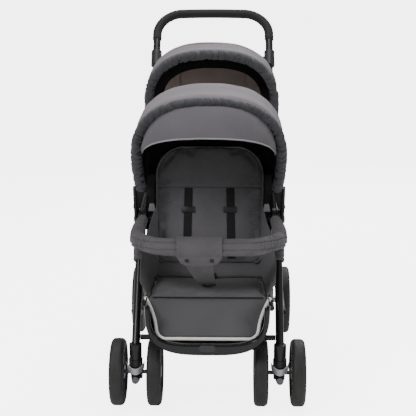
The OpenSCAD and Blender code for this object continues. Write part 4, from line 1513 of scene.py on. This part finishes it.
def wrap_place(u, v):
    """v runs from behind the bar, over its top and front, and down the tongue."""
    round_share = 0.72
    x = 2 * u - 1
    radius = COVER_RADIUS * 1.03 + WRAP_GAP
    hem = 0.0012 * math.exp(-(((abs(x) - 0.93) / 0.025) ** 2))
    if v < round_share:
        turn = math.radians(-60 + 290 * v / round_share)
        out = radius + hem + 0.0008 * ripple((x * 2, v * 4, 0.5), 0.5)
        y, z = BAR_CENTRE[0] + out * math.cos(turn), BAR_CENTRE[1] + out * math.sin(turn)
        return Vector((WRAP_X + x * WRAP_HALF, y, z))
    down = (v - round_share) / (1 - round_share)
    turn = math.radians(230)
    start = Vector((BAR_CENTRE[0] + radius * math.cos(turn), BAR_CENTRE[1] + radius * math.sin(turn)))
    narrow = 1 - 0.24 * down ** 1.2 - 0.16 * max(down - 0.7, 0) ** 2 / 0.09
    droop = TONGUE * down * (1 - 0.10 * x * x)
    point = start + Vector((0.010 * down - hem * 0.5, -droop))
    return Vector((WRAP_X + x * WRAP_HALF * narrow, point[0], point[1]))


wrap = grid("crotch_flap", 60, 90, wrap_place)
apply_modifier(wrap, "SOLIDIFY", thickness=0.0022, offset=0)
finish_piece(wrap, GUARD_CLOTH, "seat_fabric", "bumper", ["crotch_wrap"])


SNAP_RADIUS = 0.0055
for side_name, u in (("left", 0.20), ("right", 0.80)):
    on_flap = wrap_place(u, 0.84)
    stud = round_button(
        f"crotch_snap_{side_name}", 24, SNAP_RADIUS, 0.003,
        ((SNAP_RADIUS * 0.3, 0), (SNAP_RADIUS * 0.15, -0.0009)), 0.0005, on_flap + Vector((0, -0.002, 0)),
    )
    finish_piece(stud, GLOSS_PLASTIC, "gloss_black", "bumper")

STRAP_TOP = wrap_place(0.5, 0.97) + Vector((0, 0.004, 0))
STRAP_FOOT = Vector((0.003, CUSHION_LOW.y + 0.075, CUSHION_HIGH.z + 0.004))
TAIL_HALF = 0.040


def hang_place(u, v):
    point = STRAP_TOP.lerp(STRAP_FOOT, v) + Vector((0, 0, -0.010 * math.sin(math.pi * v)))
    half = TAIL_HALF - 0.020 * v ** 0.8
    return point + Vector(((2 * u - 1) * half, 0, 0.0016 * ripple((u * 3, v * 4, 7), 0.6)))


hang = grid("crotch_tail", 16, 40, hang_place)
apply_modifier(hang, "SOLIDIFY", thickness=0.002, offset=0)
finish_piece(hang, GUARD_CLOTH, "seat_fabric", "bumper")

# %% [markdown]
# ## Footrest tray
#
# The tray is one gloss moulding: a U-shaped front wall with rolled edges and a shallow trough behind
# it. Its outline is a superellipse, so the sides are nearly upright and the corners are full.

# %% Tray shell
TRAY_LOW, TRAY_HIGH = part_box("footrest_tray")
TRAY_HALF = TRAY_HIGH.x - 0.003
TRAY_DROP = 0.152
TRAY_POWERS = (4.2, 3.3)
TRAY_WALL = 0.003


def tray_outline(share, half, drop, power):
    """A point (x, z) of the U; share runs from one top end, round the bottom, to the other."""
    turn = math.pi * share
    x = -half * math.copysign(abs(math.cos(turn)) ** (2 / power), math.cos(turn))
    z = TRAY_LOW.z + TRAY_DROP - drop * math.sin(turn) ** (2 / power)
    return x, z


def tray_place(u, v):
    """v crosses the section: rolled lip, front wall, rounded foot, trough floor."""
    front, back = TRAY_LOW.y, TRAY_HIGH.y
    half_in, drop_in = TRAY_HALF - 0.012, TRAY_DROP - 0.033
    u = 0.5 + (u - 0.5) * 0.995
    if v < 0.2:
        lip = v / 0.2
        x, z = tray_outline(u, half_in - 0.001 * (1 - lip), drop_in, TRAY_POWERS[0])
        return Vector((x, front + 0.012 * (1 - lip) ** 2 + 0.0015, z))
    if v < 0.6:
        share = (v - 0.2) / 0.4
        power = TRAY_POWERS[0] + (TRAY_POWERS[1] - TRAY_POWERS[0]) * share
        x, z = tray_outline(
            u, half_in + (TRAY_HALF - half_in) * share, drop_in + (TRAY_DROP - drop_in) * share, power
        )
        bulge = 0.0015 - 0.003 * math.sin(math.pi * share) + 0.010 * max(share - 0.7, 0) ** 2 / 0.09
        return Vector((x, front + max(bulge, 0) + 0.0015, z))
    share = (v - 0.6) / 0.4
    x, z = tray_outline(u, TRAY_HALF, TRAY_DROP, TRAY_POWERS[1])
    return Vector((x, front + 0.0115 + (back - front - 0.0115) * share, z))


tray = grid("tray_shell", 110, 30, tray_place)
only(tray)
bpy.ops.object.mode_set(mode="EDIT")
bpy.ops.mesh.select_all(action="SELECT")
bpy.ops.mesh.normals_make_consistent(inside=False)
bpy.ops.object.mode_set(mode="OBJECT")
apply_modifier(tray, "SOLIDIFY", thickness=TRAY_WALL, offset=0)
apply_modifier(tray, "BEVEL", width=0.0008, segments=2, limit_method="ANGLE", angle_limit=math.radians(50))
finish_piece(tray, GLOSS_PLASTIC, "gloss_black", "front_legs", ["footrest_tray"])
print("tray", tray.dimensions)

# %% [markdown]
# ## Hub brackets and clips
#
# Each canopy rim ends in a moulded bracket that pivots on the hub pin, and a grey clip holds the
# canopy cloth to the seat frame just inside it.


# %% Brackets and clips
CLIP_SIZE = (0.009, 0.005, 0.012)


def bracket(name, hub, angle, sign):
    """A tapered bar with round ends: a cube shaped in edit mode, then bevelled."""
    piece = cube(name, cuts=5)
    for point in piece.data.vertices:
        thick, wide, long = point.co
        reach = -0.016 + 0.130 * (long + 1) / 2
        half = (0.0165 - 0.003 * (long + 1) / 2) * (1 - 0.35 * abs(long) ** 6)
        x = sign * (TUBE_X + 0.0155 + 0.0045 * thick * (1 - 0.2 * wide * wide))
        across = side(angle + 90) * wide * half
        point.co = at(x, hub + side(angle) * reach + across)
    close_and_turn_out(piece, 1e-6)
    apply_modifier(piece, "BEVEL", width=0.0018, segments=2, limit_method="ANGLE")
    return piece


def clip(name, place):
    """A grey moulded clip that narrows towards its top."""
    piece = cube(name, CLIP_SIZE, 1)
    for point in piece.data.vertices:
        point.co.x *= 1 - 0.25 * (point.co.z / CLIP_SIZE[2])
    apply_modifier(piece, "BEVEL", width=0.002, segments=3, limit_method="ANGLE")
    piece.data.transform(Matrix.Translation(place))
    return finish_piece(piece, RIM_PLASTIC, "silver_plastic", "side_frame")


for place_name, hub, angles in CANOPIES:
    for side_name, sign in SIDES:
        arm = bracket(f"{place_name}_rim_bracket_{side_name}", hub, angles[2], sign)
        finish_piece(arm, BLACK_PLASTIC, "black_plastic", f"{place_name}_canopy_front")
        clip(f"{place_name}_canopy_clip_{side_name}", at(sign * 0.173, hub + Vector((-0.012, 0.038))))


# %% [markdown]
# ## Boots, legrest backing and caster covers
#
# The last small parts are cloth boots where a canopy roll meets its bracket, a black backing behind
# the front legrest that closes the tray, and a silver crescent and round button on each caster.


# %% Boots at the feet of the rolls
def boot_radius(t, turn):
    """Flat towards the next hoop, wide across, so that the hoops can fold together."""
    flat, wide = 0.0110 - 0.0055 * t, 0.0158 - 0.003 * t
    round_it = flat * wide / math.hypot(wide * math.cos(turn), flat * math.sin(turn))
    return round_it - 0.0016 * pleats(t, turn, 2.2, 12)


for place_name, hub, angles in CANOPIES:
    for side_name, share, sign in (("left", 0, -1), ("right", 1, 1)):
        foot_top = on_arch(hub, angles[2], share, CANOPY_HALF - ROLL_INSET, CANOPY_REACH - ROLL_INSET, 0.116)
        foot_low = at(sign * (TUBE_X + 0.011), hub + 0.040 * side(angles[2]))
        boot_points = [foot_top.lerp(foot_low, k / 10) for k in range(11)]
        boot_name = f"{place_name}_roll_boot_{side_name}"
        boot = sleeve(boot_name, along_points(boot_points), boot_radius, (1, 0, 0), 40, 26)
        finish_piece(boot, SHADE_CLOTH, "trim_fabric", f"{place_name}_canopy_front")
        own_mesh(boot)

# %% Backing behind the front legrest
BACKING_OUT = 0.026
BACKING_LENGTH = REST_LENGTH + 0.030


def backing_place(u, v):
    height = BACKING_LENGTH * v
    half = min(rest_half(min(height, REST_LENGTH - 0.012)) + BACKING_OUT, TRAY_HALF - 0.006)
    half *= 1 - 0.12 * max(v - 0.85, 0) / 0.15
    return rest_place((2 * u - 1) * half, -0.004 + 0.001 * math.sin(math.pi * u), height)


backing = grid("legrest_backing", 40, 30, backing_place)
apply_modifier(backing, "SOLIDIFY", thickness=0.0018, offset=0)
finish_piece(backing, SHADE_CLOTH, "trim_fabric", "front_legs")

# %% Silver crescents and axle buttons on the casters
AXLE_HEIGHT = JOINTS["front_wheels_right_spin"]["pos_m"][2]
SWIVEL_Y = JOINTS["caster_right_swivel"]["pos_m"][1]
COVER_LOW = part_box("caster_cover_right")[0]
CRESCENT_R = 0.0258


def crescent_place(sign):
    def place_of(u, v):
        turn = math.radians(-90 + 78 * (2 * u - 1))
        front = math.cos(math.radians(78 * (2 * u - 1)))
        top = AXLE_HEIGHT + 0.0475 - 0.017 * front ** 1.5
        low = AXLE_HEIGHT + 0.034 - 0.024 * front ** 0.8
        slope = 0.0035 * v * front
        radius = CRESCENT_R - slope
        return Vector((
            sign * TUBE_X + radius * math.cos(turn), SWIVEL_Y + radius * math.sin(turn), top + (low - top) * v
        ))
    return place_of


for side_name, sign in SIDES:
    crescent = grid(f"caster_crescent_{side_name}", 40, 12, crescent_place(sign))
    apply_modifier(crescent, "SOLIDIFY", thickness=0.002, offset=0)
    close_and_turn_out(crescent, 1e-6)
    apply_modifier(
        crescent, "BEVEL", width=0.0006, segments=2, limit_method="ANGLE", angle_limit=math.radians(50)
    )
    finish_piece(
        crescent, SILVER_PLASTIC, "silver_plastic", f"caster_{side_name}", [f"caster_cover_{side_name}"]
    )
    button = round_button(
        f"axle_button_{side_name}", 36, 0.0105, 0.006, ((0.0022, 0), (0.0008, -0.0016), (0.002, 0.0008)),
        0.0006, (sign * TUBE_X, COVER_LOW.y + 0.001, COVER_LOW.z + 0.007),
    )
    finish_piece(button, RIM_PLASTIC, "silver_plastic", f"caster_{side_name}")
